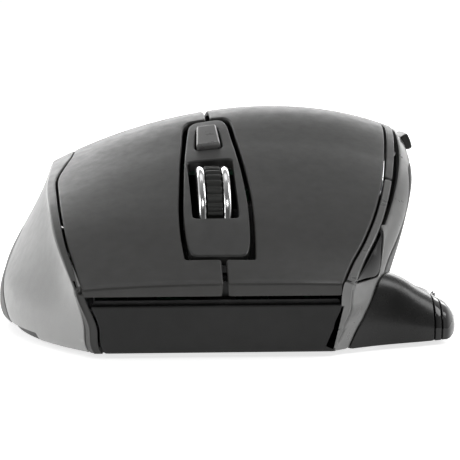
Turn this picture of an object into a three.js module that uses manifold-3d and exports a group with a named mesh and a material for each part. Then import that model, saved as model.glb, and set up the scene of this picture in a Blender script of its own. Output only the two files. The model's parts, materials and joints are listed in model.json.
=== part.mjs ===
// A right-handed, thumb-operated wireless trackball mouse, as an assembly of separate pieces.
// Units are millimetres. The front, with the click buttons, faces -Y; the thumb side is +X; +Z is up.
// The origin is the centre of the bounding box in plan, at the height of the surface it stands on.
import * as THREE from 'three';
import { mergeVertices } from 'three/addons/utils/BufferGeometryUtils.js';
import Module from 'manifold-3d';

const wasm = await Module();
wasm.setup();

// ---------------------------------------------------------------- driving dimensions
const FRONT_Y = -61;              // front edge of the click buttons
const APEX_Y = 8;                 // where the back of the hump starts to fall away
const REAR_Y = 62;                // rear end
const SPINE_X = -4.6;             // line between the two click buttons
const FOOT_H = 0.8;               // the feet lift the base by this
const BASE_TOP = 2.0;             // top of the base plate
const SKIRT_Z = 2.3;              // lower edge of the covers above the base plate
const WALL = 2.0;                 // thickness of the covers
const SEAM = 0.4;                 // gap between neighbouring covers
const BUTTON_GAP = 0.9;           // wide gap beside the click buttons' centre island
const LIP_Z = 11.9;               // lower edge of the click buttons' front lip
const FRONT_PANEL_TOP = 10.2;

const WHEEL = { x: SPINE_X - 0.2, y: -28, z: 22.2, radius: 12.5, width: 6.8 };
const BALL = { x: 25.2, y: 8, z: 19.3, radius: 14 };
const BALL_TILT = THREE.MathUtils.degToRad(4);    // the ball's opening looks this far up from +X
const BATTERY = { x: -20, y: 13.5, z: 11.6, radius: 7.2, length: 49.0 };
const BOARD_Z = 6;                // underside of the main circuit board
const BOARD_T = 1.6;
const SWITCH = { length: 12.8, width: 5.8, height: 6.5, plunger: 0.8 };
const SWITCH_Z = BOARD_Z + BOARD_T + 0.05;
const PLUNGER_TOP = SWITCH_Z + SWITCH.height + SWITCH.plunger;
const CLICK_TRAVEL = 0.55;
const CLICKS = { left: [9, -43], right: [-20, -43], middle: [SPINE_X - 0.2, -48] };

// Stations along Y and the outline of the body there, from the front to the apex.
const STATION_Y = [-61, -52, -42, -30, -15, 8];
const OUTLINE = {
  groundLeftX: [-29.4, -35.3, -40.0, -43.8, -46.0, -46.0],
  bulgeLeftX: [-30.6, -36.4, -41.6, -45.8, -48.4, -48.2],
  bulgeLeftZ: [5.0, 5.5, 6.0, 6.0, 6.0, 6.5],
  shoulderLeftX: [-33.4, -35.3, -37.1, -38.1, -38.6, -37.4],
  shoulderLeftZ: [13.3, 17.6, 22.0, 26.0, 29.3, 32.6],
  crownZ: [14.4, 19.6, 25.4, 31.2, 37.5, 43.9],
  crownLean: [0, 0.5, 1.0, 2.5, 4.0, 6.5],
  shoulderRightX: [21.0, 23.9, 28.0, 31.6, 34.6, 36.8],
  shoulderRightZ: [14.2, 17.6, 22.4, 28.0, 33.9, 40.2],
  bulgeRightX: [20.2, 26.3, 30.6, 34.8, 38.4, 39.2],
  bulgeRightZ: [10.0, 12.0, 17.0, 23.5, 30.0, 35.2],
  scoop: [0, 0, 0, 0.05, 0.3, 0.85],   // how fast the thumb side turns in below its bulge
  waistRightX: [18.6, 26.2, 29.6, 31.0, 31.4, 31.2],
  waistRightZ: [5.0, 8.0, 11.0, 13.0, 14.0, 14.0],
  groundRightX: [16.8, 25.2, 28.5, 30.0, 30.4, 30.2],
};

// ---------------------------------------------------------------- curves
// A smooth curve through (xs, values) that is level at its last station.
function spline(xs, values) {
  const last = xs.length - 1;
  const slope = values.map((v, i) => {
    if (i === last) return 0;
    if (i === 0) return (values[1] - v) / (xs[1] - xs[0]);
    const before = (v - values[i - 1]) / (xs[i] - xs[i - 1]);
    const after = (values[i + 1] - v) / (xs[i + 1] - xs[i]);
    return (before * (xs[i + 1] - xs[i]) + after * (xs[i] - xs[i - 1])) / (xs[i + 1] - xs[i - 1]);
  });
  return (x) => {
    let i = 0;
    while (i < last - 1 && x > xs[i + 1]) i += 1;
    const h = xs[i + 1] - xs[i];
    const t = THREE.MathUtils.clamp((x - xs[i]) / h, 0, 1);
    const a = (1 + 2 * t) * (1 - t) * (1 - t) * values[i] + t * (1 - t) * (1 - t) * h * slope[i];
    return a + t * t * (3 - 2 * t) * values[i + 1] + t * t * (t - 1) * h * slope[i + 1];
  };
}

const curve = Object.fromEntries(Object.entries(OUTLINE).map(([k, v]) => [k, spline(STATION_Y, v)]));

// Behind the apex the body closes like a superellipse, in width and in height.
const rearShare = (y) => THREE.MathUtils.clamp((y - APEX_Y) / (REAR_Y - APEX_Y), 0, 1);
const rearWidth = (y) => (1 - rearShare(y) ** 2.4) ** (1 / 2.4);
const rearHeight = (y) => (1 - rearShare(y) ** 2.1) ** 0.6;

function outlineAt(y) {
  const at = {};
  for (const key of Object.keys(curve)) {
    const value = curve[key](Math.min(y, APEX_Y));
    const k = key.endsWith('X') ? rearWidth(y) : rearHeight(y);
    const centre = key.endsWith('X') ? SPINE_X : 0;
    at[key] = key === 'scoop' ? value : centre + (value - centre) * k;
  }
  return at;
}

function bezier(a, b, c, d, steps) {
  const path = new THREE.CubicBezierCurve(
    new THREE.Vector2(...a), new THREE.Vector2(...b), new THREE.Vector2(...c), new THREE.Vector2(...d));
  return path.getPoints(steps).map((p) => [p.x, p.y]);
}

// One closed section of the body in XZ at station y, moved inwards by inset.
function bodySection(y, inset, bottom) {
  const o = outlineAt(y);
  const groundL = [o.groundLeftX + inset, bottom];
  const bulgeL = [o.bulgeLeftX + inset, Math.max(o.bulgeLeftZ, bottom + 0.1)];
  const shoulderL = [o.shoulderLeftX + inset, o.shoulderLeftZ - 0.8 * inset];
  const shoulderR = [o.shoulderRightX - inset, o.shoulderRightZ - 0.8 * inset];
  const bulgeR = [o.bulgeRightX - inset, o.bulgeRightZ];
  const waistR = [o.waistRightX - inset, Math.max(o.waistRightZ, bottom + 0.2)];
  const groundR = [o.groundRightX - inset, bottom];
  const width = shoulderR[0] - shoulderL[0];
  const handles = (8 * (o.crownZ - inset) - shoulderL[1] - shoulderR[1]) / 3;
  const lean = o.crownLean;
  const dzL = shoulderL[1] - bulgeL[1];
  const dzR = shoulderR[1] - bulgeR[1];
  const dzW = bulgeR[1] - waistR[1];
  return [
    ...bezier(groundL, [bulgeL[0], bottom + 0.2 * (bulgeL[1] - bottom)],
      [bulgeL[0], bulgeL[1] * 0.7], bulgeL, 2),
    ...bezier(bulgeL, [bulgeL[0], bulgeL[1] + 0.3 * dzL],
      [shoulderL[0] - 0.25 * (shoulderL[0] - bulgeL[0]), shoulderL[1] - 0.4 * dzL], shoulderL, 4).slice(1),
    ...bezier(shoulderL, [shoulderL[0] + 0.27 * width, (handles - lean) / 2],
      [shoulderR[0] - 0.33 * width, (handles + lean) / 2], shoulderR, 10).slice(1),
    ...bezier(shoulderR, [shoulderR[0] + 0.7 * (bulgeR[0] - shoulderR[0]), shoulderR[1] - 0.15 * dzR],
      [bulgeR[0], bulgeR[1] + 0.4 * dzR], bulgeR, 3).slice(1),
    ...bezier(bulgeR,
      [bulgeR[0] - 0.9 * o.scoop * (bulgeR[0] - waistR[0]), bulgeR[1] - (0.4 - 0.25 * o.scoop) * dzW],
      [waistR[0] + 0.1, waistR[1] + (0.35 + 0.3 * o.scoop) * dzW], waistR, 5).slice(1),
    groundR,
  ];
}

// ---------------------------------------------------------------- solids
function solid(geometry, matrix) {
  const g = geometry.index ? geometry.toNonIndexed() : geometry.clone();
  const bare = new THREE.BufferGeometry().setAttribute('position', g.getAttribute('position'));
  if (matrix) bare.applyMatrix4(matrix);
  const merged = mergeVertices(bare, 1e-4);
  return new wasm.Manifold(new wasm.Mesh({
    numProp: 3,
    vertProperties: merged.attributes.position.array,
    triVerts: new Uint32Array(merged.index.array),
  }));
}

function geometryOf(manifold) {
  const mesh = manifold.getMesh();
  const positions = new Float32Array(mesh.numVert * 3);
  for (let i = 0; i < mesh.numVert; i += 1) {
    positions.set(mesh.vertProperties.subarray(i * mesh.numProp, i * mesh.numProp + 3), i * 3);
  }
  const g = new THREE.BufferGeometry().setAttribute('position', new THREE.BufferAttribute(positions, 3));
  g.setIndex(new THREE.BufferAttribute(mesh.triVerts, 1));
  g.computeVertexNormals();
  return g;
}

// The largest body of a cut piece, so that slivers of the other side are left out.
function mainBody(manifold) {
  const bodies = manifold.decompose();
  return bodies.reduce((best, b) => (b.volume() > best.volume() ? b : best));
}

// A closed solid through rings of points, each ring the same length, with flat ends.
function loft(rings) {
  const n = rings[0].length;
  const positions = rings.flat().flatMap((p) => [p.x, p.y, p.z]);
  const index = [];
  for (let r = 0; r < rings.length - 1; r += 1) {
    for (let i = 0; i < n; i += 1) {
      const a = r * n + i;
      const b = r * n + (i + 1) % n;
      index.push(a, b, a + n, b, b + n, a + n);
    }
  }
  [0, rings.length - 1].forEach((r) => {
    const centre = rings[r].reduce((sum, p) => sum.add(p), new THREE.Vector3()).divideScalar(n);
    const hub = positions.length / 3;
    positions.push(centre.x, centre.y, centre.z);
    for (let i = 0; i < n; i += 1) {
      const edge = [r * n + i, r * n + (i + 1) % n];
      index.push(hub, ...(r === 0 ? edge.reverse() : edge));
    }
  });
  const g = new THREE.BufferGeometry();
  g.setAttribute('position', new THREE.Float32BufferAttribute(positions, 3));
  g.setIndex(index);
  const made = solid(g);
  if (made.volume() > 0) return made;
  for (let i = 0; i < index.length; i += 3) [index[i + 1], index[i + 2]] = [index[i + 2], index[i + 1]];
  g.setIndex(index);
  return solid(g);
}

// Stations get closer together towards the rounded rear.
function stations(front, rear, toApex, toRear) {
  const before = Array.from({ length: toApex }, (_, i) => front + (APEX_Y - front) * (i / toApex));
  const after = Array.from({ length: toRear + 1 }, (_, i) => {
    const share = Math.sin((i / toRear) * 0.94 * Math.PI / 2) / Math.sin(0.94 * Math.PI / 2);
    return APEX_Y + (rear - APEX_Y) * share;
  });
  return [...before, ...after];
}

function body(inset, front, rear, bottom) {
  const rings = stations(front, rear, 11, 7).map((y) =>
    bodySection(y, inset, bottom).map(([x, z]) => new THREE.Vector3(x, y, z)));
  return loft(rings);
}

// A block over a plan outline [[x, y], ...] between two heights.
function planBlock(points, low, high) {
  const g = new THREE.ExtrudeGeometry(new THREE.Shape(points.map((p) => new THREE.Vector2(...p))),
    { depth: high - low, bevelEnabled: false, curveSegments: 8 });
  return solid(g, new THREE.Matrix4().makeTranslation(0, 0, low));
}

// A block over a side outline [[y, z], ...] between two X values.
function sideBlock(points, low, high) {
  const g = new THREE.ExtrudeGeometry(new THREE.Shape(points.map((p) => new THREE.Vector2(...p))),
    { depth: high - low, bevelEnabled: false });
  const turn = new THREE.Matrix4().set(0, 0, 1, low, 1, 0, 0, 0, 0, 1, 0, 0, 0, 0, 0, 1);
  return solid(g, turn);
}

// A block over a front outline [[x, z], ...] between two Y values.
function frontBlock(points, low, high) {
  const g = new THREE.ExtrudeGeometry(new THREE.Shape(points.map((p) => new THREE.Vector2(...p))),
    { depth: high - low, bevelEnabled: false });
  const turn = new THREE.Matrix4().set(1, 0, 0, 0, 0, 0, -1, high, 0, 1, 0, 0, 0, 0, 0, 1);
  return solid(g, turn);
}

function box(x0, x1, y0, y1, z0, z1) {
  const g = new THREE.BoxGeometry(x1 - x0, y1 - y0, z1 - z0);
  return solid(g, new THREE.Matrix4().makeTranslation((x0 + x1) / 2, (y0 + y1) / 2, (z0 + z1) / 2));
}

// A block with rounded vertical edges.
function roundBox(x0, x1, y0, y1, z0, z1, r) {
  const shape = new THREE.Shape();
  shape.absarc(x1 - r, y1 - r, r, 0, Math.PI / 2);
  shape.absarc(x0 + r, y1 - r, r, Math.PI / 2, Math.PI);
  shape.absarc(x0 + r, y0 + r, r, Math.PI, 1.5 * Math.PI);
  shape.absarc(x1 - r, y0 + r, r, 1.5 * Math.PI, 2 * Math.PI);
  const g = new THREE.ExtrudeGeometry(shape, { depth: z1 - z0, bevelEnabled: false, curveSegments: 3 });
  return solid(g, new THREE.Matrix4().makeTranslation(0, 0, z0));
}

function cylinder(radius, length, centre, axis, sides = 24) {
  const g = new THREE.CylinderGeometry(radius, radius, length, sides);
  const along = axis.clone().normalize();
  const turn = new THREE.Quaternion().setFromUnitVectors(new THREE.Vector3(0, 1, 0), along);
  return solid(g, new THREE.Matrix4().compose(centre, turn, new THREE.Vector3(1, 1, 1)));
}

// A turned piece: profile [[radius, along], ...] about axis through centre.
function turned(profile, centre, axis, sides = 32) {
  const g = new THREE.LatheGeometry(profile.map((p) => new THREE.Vector2(...p)), sides);
  const along = axis.clone().normalize();
  const turn = new THREE.Quaternion().setFromUnitVectors(new THREE.Vector3(0, 1, 0), along);
  const made = solid(g, new THREE.Matrix4().compose(centre, turn, new THREE.Vector3(1, 1, 1)));
  if (made.volume() > 0) return made;
  const flipped = g.clone();
  const index = Array.from(flipped.index.array);
  for (let i = 0; i < index.length; i += 3) [index[i + 1], index[i + 2]] = [index[i + 2], index[i + 1]];
  flipped.setIndex(index);
  return solid(flipped, new THREE.Matrix4().compose(centre, turn, new THREE.Vector3(1, 1, 1)));
}

function sphere(radius, centre, sides = 28, rows = 16) {
  return solid(new THREE.SphereGeometry(radius, sides, rows),
    new THREE.Matrix4().makeTranslation(centre.x, centre.y, centre.z));
}

const union = (...list) => list.reduce((all, s) => all.add(s));
const cut = (from, ...tools) => tools.reduce((all, s) => all.subtract(s), from);

// ---------------------------------------------------------------- materials
const FINISH = {
  key: { color: 0x3a3a38, roughness: 0.55, metalness: 0 },
  palm: { color: 0x40403f, roughness: 0.45, metalness: 0 },
  island: { color: 0x3c3c3b, roughness: 0.5, metalness: 0 },
  satin: { color: 0x8b8b8a, roughness: 0.4, metalness: 0.1 },
  rubber: { color: 0x5b5b5a, roughness: 0.8, metalness: 0 },
  gloss: { color: 0x121212, roughness: 0.08, metalness: 0 },
  dark: { color: 0x262626, roughness: 0.6, metalness: 0 },
  wing: { color: 0x2a2a28, roughness: 0.4, metalness: 0 },
  chrome: { color: 0xd8d8d8, roughness: 0.08, metalness: 1 },
  tyre: { color: 0x1c1d1a, roughness: 0.7, metalness: 0 },
  ball: { color: 0x2b2f36, roughness: 0.12, metalness: 0 },
  ceramic: { color: 0xf0eee8, roughness: 0.2, metalness: 0 },
  frame: { color: 0x1d1d1d, roughness: 0.6, metalness: 0 },
  board: { color: 0x14532d, roughness: 0.5, metalness: 0 },
  part: { color: 0x0e0e0e, roughness: 0.5, metalness: 0 },
  steel: { color: 0xb4b6b8, roughness: 0.3, metalness: 1 },
  cell: { color: 0x2f6f9f, roughness: 0.35, metalness: 0.3 },
  foot: { color: 0x1a1a1a, roughness: 0.9, metalness: 0 },
  clear: { color: 0xe8eef2, roughness: 0.05, metalness: 0 },
};
const finishes = Object.fromEntries(
  Object.entries(FINISH).map(([name, m]) => [name, new THREE.MeshStandardMaterial(m)]));

const assembly = new THREE.Group();
function add(name, manifold, finish) {
  const mesh = new THREE.Mesh(geometryOf(mainBody(mainBody(manifold).simplify(0.012))), finishes[finish]);
  mesh.name = name;
  assembly.add(mesh);
}

// ---------------------------------------------------------------- the covers
const outer = body(0, FRONT_Y, REAR_Y, FOOT_H + 0.1);
const cavity = body(WALL, FRONT_Y + WALL, REAR_Y - WALL, -5);
const shell = cut(outer, cavity);
const FAR = 80;
const UP = new THREE.Vector3(0, 0, 1);

// Plan outline of the two click buttons together; grow widens it on every side but the front.
function buttonPlan(grow) {
  const left = [[-32.1, -61], [-33.4, -53], [-34.8, -45], [-35.8, -34], [-36.3, -22], [-36.4, -9],
    [-33.2, 0], [-32.4, 12], [-30.6, 24]];
  const right = [[24.6, 24], [26.0, 19], [31.8, 14.6], [34.3, 12], [34.5, 4], [34.1, -3], [32.7, -14],
    [30.6, -26], [28.0, -36], [24.8, -45], [21.3, -53], [18.6, -61]];
  return [
    [left[0][0] - grow, -FAR], ...left.map(([x, y]) => [x - grow, y + (y > 20 ? grow : 0)]),
    ...right.map(([x, y]) => [x + grow, y + (y > 13 ? grow : 0)]), [right[11][0] + grow, -FAR],
  ];
}

// Plan outline of the centre island, which tapers to the rear.
function islandPlan(grow) {
  return [[-9.6, -53], [-11.0, -51], [-11.3, -40], [-10.2, -22], [-8.4, -3.4], [-7.4, -1.6],
    [-1.4, -1.2], [-0.5, -3.0], [1.2, -22], [1.9, -40], [1.3, -51], [0.0, -53]]
    .map(([x, y]) => [x + (x < SPINE_X ? -grow : grow), y + (y < -45 ? -grow : 0) + (y > -5 ? grow : 0)]);
}

// Everything outside the crease line of one shoulder, as a loft of sections along Y.
function flankBlock(sign, gap) {
  const rings = [FRONT_Y - 3, ...stations(FRONT_Y, REAR_Y - 0.05, 11, 7)].map((y) => {
    const o = outlineAt(Math.max(y, FRONT_Y));
    const x = (sign < 0 ? o.shoulderLeftX : o.shoulderRightX) + sign * gap;
    const z = (sign < 0 ? o.shoulderLeftZ : o.shoulderRightZ) - gap;
    const ground = (sign < 0 ? o.groundLeftX : o.groundRightX) + sign * (gap - 1.2);
    const depth = THREE.MathUtils.lerp(0.4, 5, THREE.MathUtils.clamp((y - FRONT_Y) / 8, 0, 1));
    const low = Math.min(z - 0.8 * depth, z - 0.2);
    return [[x, z + 0.05], [x - sign * depth, low], [ground - sign * depth, -4], [sign * FAR, -4],
      [sign * FAR, z + 0.05]].map(([px, pz]) => new THREE.Vector3(px, y, pz));
  });
  return loft(rings);
}

const buttonsTool = planBlock(buttonPlan(0), -FAR, FAR);
const buttonsHole = planBlock(buttonPlan(SEAM), -FAR, FAR);
const islandTool = planBlock(islandPlan(0), -FAR, FAR);
const islandHole = planBlock(islandPlan(BUTTON_GAP), -FAR, FAR);
const splitHole = planBlock([[SPINE_X, -FAR], [SPINE_X + BUTTON_GAP, -FAR], [SPINE_X + 1.2, 26],
  [SPINE_X + 0.3, 26]], -FAR, FAR);
const aboveLip = box(-FAR, FAR, -FAR, FAR, LIP_Z, FAR);
const SKIRT_Y = -42;              // in front of this the side covers reach down past the base plate
const aboveSkirt = union(box(-FAR, FAR, SKIRT_Y - 1, FAR, SKIRT_Z, FAR),
  box(-FAR, FAR, -FAR, SKIRT_Y - 0.3, 0, FAR));

const buttonSkin = cut(shell.intersect(buttonsTool).intersect(aboveLip), islandHole, splitHole);
// Each button has a post that reaches down to the plunger of its switch.
function clickButton(low, high, [x, y]) {
  const post = box(x - 1.2, x + 1.2, y - 4.6, y - 2.6, PLUNGER_TOP + CLICK_TRAVEL + 0.1, FAR)
    .intersect(body(WALL / 2, FRONT_Y, REAR_Y, FOOT_H));
  return union(buttonSkin.intersect(box(low, high, -FAR, FAR, -FAR, FAR)), post);
}
add('left_click_button', clickButton(SPINE_X + 0.4, FAR, CLICKS.left), 'key');
add('right_click_button', clickButton(-FAR, SPINE_X + 0.4, CLICKS.right), 'key');

const wheelSlot = roundBox(WHEEL.x - 4.7, WHEEL.x + 4.7, WHEEL.y - 14.0, WHEEL.y + 7.6, -FAR, FAR, 2.2);
const dpiHole = planBlock([[-7.9, -17.6], [-0.9, -17.6], [-1.4, -6.6], [-6.9, -6.6]], -FAR, FAR);
const island = cut(shell.intersect(islandTool).intersect(aboveLip), wheelSlot, dpiHole);
// Two front legs stand on the main board, two rear ones carry the DPI switch's little board.
const islandLegs = union(
  box(-10.2, -8.2, -50.5, -47.5, BOARD_Z + BOARD_T + 0.3, 19.5),
  box(-1.0, 0.8, -50.5, -47.5, BOARD_Z + BOARD_T + 0.3, 19.5),
  box(-8.0, -6.9, -4.6, -2.6, 33.3, 39.5),
  box(-2.0, -0.9, -4.6, -2.6, 33.3, 39.5));
add('center_bezel', union(island, islandLegs), 'island');
const dpiPlan = [[-7.5, -17.2], [-1.3, -17.2], [-1.8, -7.0], [-6.5, -7.0]];
add('dpi_button', cut(body(-1.1, FRONT_Y, REAR_Y, 0), body(2.4, FRONT_Y, REAR_Y, -5))
  .intersect(planBlock(dpiPlan, 20, FAR)), 'satin');
add('dpi_board', box(-9.4, 0.4, -16, -1.6, 31.8, 33), 'board');
add('dpi_switch', union(box(-6.6, -2.2, -14.4, -10, 33.05, 34.3), box(-5.4, -3.4, -13.2, -11.2, 34.2, 34.8)),
  'part');
const frontOutline = (grow) => [[-29.6 - grow, -1], [-31.7 - grow, FRONT_PANEL_TOP],
  [19.6 + grow, FRONT_PANEL_TOP], [16.0 + grow, -1]];
const frontTool = frontBlock(frontOutline(0), -FAR, FRONT_Y + WALL + 0.5);
const besideButtons = sideBlock([[-FAR, 10.1], [FRONT_Y, 10.1], [-52, 11.4], [-42, 17], [-30, 22.5],
  [-15, 28], [APEX_Y, 34], [26, 34], [26, FAR], [-FAR, FAR]], -FAR, FAR);
const frontHole = union(frontBlock(frontOutline(SEAM), -FAR, FRONT_Y + WALL + 1),
  buttonsHole.intersect(besideButtons));
add('front_panel', shell.intersect(frontTool), 'dark');

// The flank on the finger side: a satin panel and, behind its seam, a rubber grip.
const fingerFlank = cut(shell.intersect(flankBlock(-1, SEAM)), frontHole).intersect(aboveSkirt);
const gripSeam = [[-29.5, 0], [-26.5, 2.5], [-21.5, 6], [-14.5, 9.5], [-6, 14], [6, 17.5], [24, 18.5],
  [44, 15], [58, 9], [FAR, 4], [FAR, -10], [-29.5, -10]];
const gripGap = gripSeam.map(([y, z]) => [y - (z > 0 && y < 0 ? SEAM : 0), z + (z > 10 ? SEAM : 0)]);
add('finger_side_panel', cut(fingerFlank, sideBlock(gripGap, -FAR, 0)), 'satin');
add('finger_grip', fingerFlank.intersect(sideBlock(gripSeam, -FAR, SPINE_X - 2)), 'rubber');

// The flank on the thumb side: a satin panel, gloss trim in front of it and a rubber thumb grip below.
const thumbFlank = cut(shell.intersect(flankBlock(1, SEAM)), frontHole).intersect(aboveSkirt);
const thumbSeam = [[-58, 0], [-53, 7], [-50, 11.2], [-46, 15.3], [-36, 20.4], [-28, 24.3], [-18, 30],
  [-12, 32.6], [0, 33.8], [16, 32.6], [32, 27.5], [46, 18.5], [53, 10.5], [55, -4]];
const belowSeam = [...thumbSeam, [55, -10], [-58, -10]];
const seamGap = [...thumbSeam.map(([y, z]) => [y + (y > 16 ? 0.3 : -0.3), z + 0.3]), [55, -10], [-58.4, -10]];
const glossSide = [[-FAR, 14.4], [-50.6, 14.6], [-46, 19], [-39.6, 24.2], [-39.6, FAR], [-FAR, FAR]];
const glossGap = [[-FAR, 14.1], [-50.4, 14.3], [-45.8, 18.7], [-39.3, 24.0], [-39.3, FAR], [-FAR, FAR]];

const ballAt = new THREE.Vector3(BALL.x, BALL.y, BALL.z);
const ballAxis = new THREE.Vector3(Math.cos(BALL_TILT), 0, Math.sin(BALL_TILT));
const onAxis = (a) => ballAt.clone().addScaledVector(ballAxis, a);
const ballPort = union(cylinder(15.3, 26, onAxis(13), ballAxis, 32),
  cylinder(16.9, 5, onAxis(1.9), ballAxis, 32));
const ringRoom = (r) => cylinder(r, 8, onAxis(4.2), ballAxis, 32);

// The two side buttons stand in a slot in the thumb-side panel, below its crease.
const sideLow = spline([1, 9, 16, 23, 30], [35.6, 35.3, 34.6, 33.2, 31.6]);
const sideHigh = spline([1, 9, 16, 23, 30], [38.3, 38.5, 38.1, 36.9, 35.2]);
function sideOutline(front, rear, grow) {
  const ys = Array.from({ length: 5 }, (_, i) => front - grow + (rear - front + 2 * grow) * (i / 4));
  return [...ys.map((y) => [y, sideLow(y) - grow]), ...ys.reverse().map((y) => [y, sideHigh(y) + grow])];
}
const sideButtonSlot = sideBlock(sideOutline(1.2, 29.6, 0.4), 20, FAR);
function sideButton(front, rear, inner) {
  return cut(body(-2.3, FRONT_Y, REAR_Y + 2, 0), body(1.4, FRONT_Y, REAR_Y - 1.4, -5))
    .intersect(sideBlock(sideOutline(front, rear, 0), inner, FAR));
}
add('forward_button', sideButton(1.2, 15.1, 36.1), 'dark');
add('back_button', sideButton(15.6, 29.6, 35.7), 'dark');

add('thumb_side_panel', cut(thumbFlank, sideBlock(seamGap, 0, FAR), sideBlock(glossGap, 0, FAR),
  sideButtonSlot), 'satin');
add('thumb_grip', cut(thumbFlank.intersect(sideBlock(belowSeam, 0, FAR)), ballPort), 'rubber');

const topSkin = cut(shell, flankBlock(-1, 0), flankBlock(1, 0), frontHole,
  buttonsHole.intersect(box(-FAR, FAR, -FAR, FAR, FRONT_PANEL_TOP - 0.1, FAR)));
const trimY = -22.5;
const trimRegion = shell.intersect(box(15, FAR, -FAR, trimY - SEAM / 2, 14.5, FAR));
const behindTrim = cut(flankBlock(1, 0), sideBlock(glossSide, 10, FAR));
add('gloss_trim', cut(trimRegion, frontHole, behindTrim), 'gloss');
add('palm_cover', cut(topSkin, box(10, FAR, -FAR, trimY + SEAM / 2, -FAR, FAR)).intersect(
  union(aboveSkirt, box(-FAR, -20, -FAR, -50, 1, FAR))), 'palm');

// ---------------------------------------------------------------- the thumb wing
// At each X the wing runs from front to rear in Y, with a ridge along its front and outer edge.
const WING_X = [20.5, 24, 28, 33, 35.7, 38, 40.4, 42.5, 43.7, 44.3];
const wingFront = spline(WING_X, [-58.2, -55.8, -53.4, -51.0, -49.8, -48.6, -47.2, -45.2, -42.6, -39.5]);
const wingRear = spline(WING_X, [44, 41, 37, 30, 24.5, 18.5, 11.5, 4, -3, -9]);
const wingRidge = spline(WING_X, [17.0, 16.4, 15.2, 13.0, 11.2, 9.9, 8.5, 7.3, 6.0, 4.6]);

function wingSection(x, inset, bottom) {
  const front = wingFront(x) + inset;
  const rear = wingRear(x) - inset;
  const ridge = wingRidge(x) - inset;
  const rise = (share) => Math.max(bottom, 0) + share * (ridge - Math.max(bottom, 0));
  const floor = Math.min(Math.max(5.9 - inset, bottom + 1.2), ridge);
  const dip = ridge - floor;
  const middle = (share) => THREE.MathUtils.lerp(-6, rear, share);
  return [[front + 0.4, bottom], [front, rise(0.3)], [front + 0.9, rise(0.62)], [front + 3.0, rise(0.88)],
    [front + 7.0, ridge], [front + 16, ridge - 0.35 * dip], [-16, ridge - 0.85 * dip], [-6, floor],
    [middle(0.45), floor], [middle(0.8), floor - 0.15 * (floor - bottom)],
    [rear - 1, bottom + 0.5 * (floor - bottom)], [rear, bottom + 0.4], [rear - 0.2, bottom],
  ].map(([y, z]) => new THREE.Vector3(x, y, z));
}

function wingBody(inset, bottom) {
  const xs = [20.5, 24, 28, 31.5, 34, 36, 37.5, 39.2, 40.4, 41.5, 42.5, 43.3, 43.9, 44.3];
  return loft(xs.map((x) => wingSection(x, inset, bottom).map((p) => p.setX(x - inset))));
}

const bodyWithGap = body(-0.4, FRONT_Y - 1, REAR_Y + 0.4, -5);
const wingSolid = cut(wingBody(0, FOOT_H + 0.1), bodyWithGap).intersect(aboveSkirt);
// Behind the front corner the wing is open below, over the base plate; in front of it it has a floor.
const wingCavity = cut(wingBody(2.8, -4), box(0, FAR, -FAR, SKIRT_Y + 0.4, -10, 3.0));
const wingSkin = cut(wingSolid, wingCavity);
const WING_BAND = { inner: 38.6, outer: 40.2 };
const padPlan = (grow) => [[24, -33 - grow], [35.6 + grow, -33 - grow], [37.6 + grow, -24], [37.6 + grow, -2],
  [36.2 + grow, 8 + grow], [24, 12 + grow]];
const padLayer = (depth, grow) => cut(wingSolid, wingSolid.translate(0, 0, -depth))
  .intersect(planBlock(padPlan(grow), 3.4 - grow, FAR));
add('wing_shell', cut(wingSkin.intersect(box(0, WING_BAND.inner, -FAR, FAR, -5, FAR)),
  padLayer(1.5, 0.3), ringRoom(15.3)), 'wing');
add('wing_band', wingSkin.intersect(box(WING_BAND.inner + 0.2, WING_BAND.outer, -FAR, FAR, -5, FAR)),
  'gloss');
add('wing_cap', wingSkin.intersect(box(WING_BAND.outer + 0.25, FAR, -FAR, FAR, -5, FAR)), 'gloss');
add('thumb_rest_pad', cut(padLayer(1.2, 0), ringRoom(16.2)), 'rubber');

// ---------------------------------------------------------------- the base and what is fixed to it
function basePlan() {
  const ys = [-58.4, -52, -47, SKIRT_Y - 0.01, SKIRT_Y, -32, -20, -6, 8, 20, 32, 42, 50, 55.5, 58.8, 60.6];
  const inset = (y) => (y < SKIRT_Y ? 2.7 : 0.5);
  const left = ys.map((y) => [outlineAt(y).groundLeftX + inset(y), y]);
  const right = ys.map((y) => {
    const bodyX = outlineAt(y).groundRightX - inset(y);
    const wing = WING_X.map((x) => [x, wingFront(x) + 0.8, wingRear(x) - 0.8])
      .filter(([, front, rear]) => y >= Math.max(front, SKIRT_Y) && y <= rear).map(([x]) => x - 0.6);
    return [Math.max(bodyX, ...wing), y];
  });
  return [...left, ...right.reverse()];
}

const BAY = { x0: -28.6, x1: -11.4, y0: -14.6, y1: 41.6, wall: 1.2, top: 20.2 };
const DOOR = { x0: -27.6, x1: -12.4, y0: -13.6, y1: 40.6 };
const POWER = { x0: 4, x1: 12, y0: 38.2, y1: 42, knob: 4 };
const FEET = [[-26, -48.5, 12, 4.5], [8, -51.5, 12, 4.5], [-6, 52.5, 20, 5], [36, -30, 5, 22]];
const PALM_SCREWS = [[-33.5, 31], [22.5, 37], [-4.6, 46]];
const BOARD_SCREWS = [[-25, -22], [12, -22]];
const BOARD = { x0: -29, x1: 15.5, y0: -55.5, y1: -18 };

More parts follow.
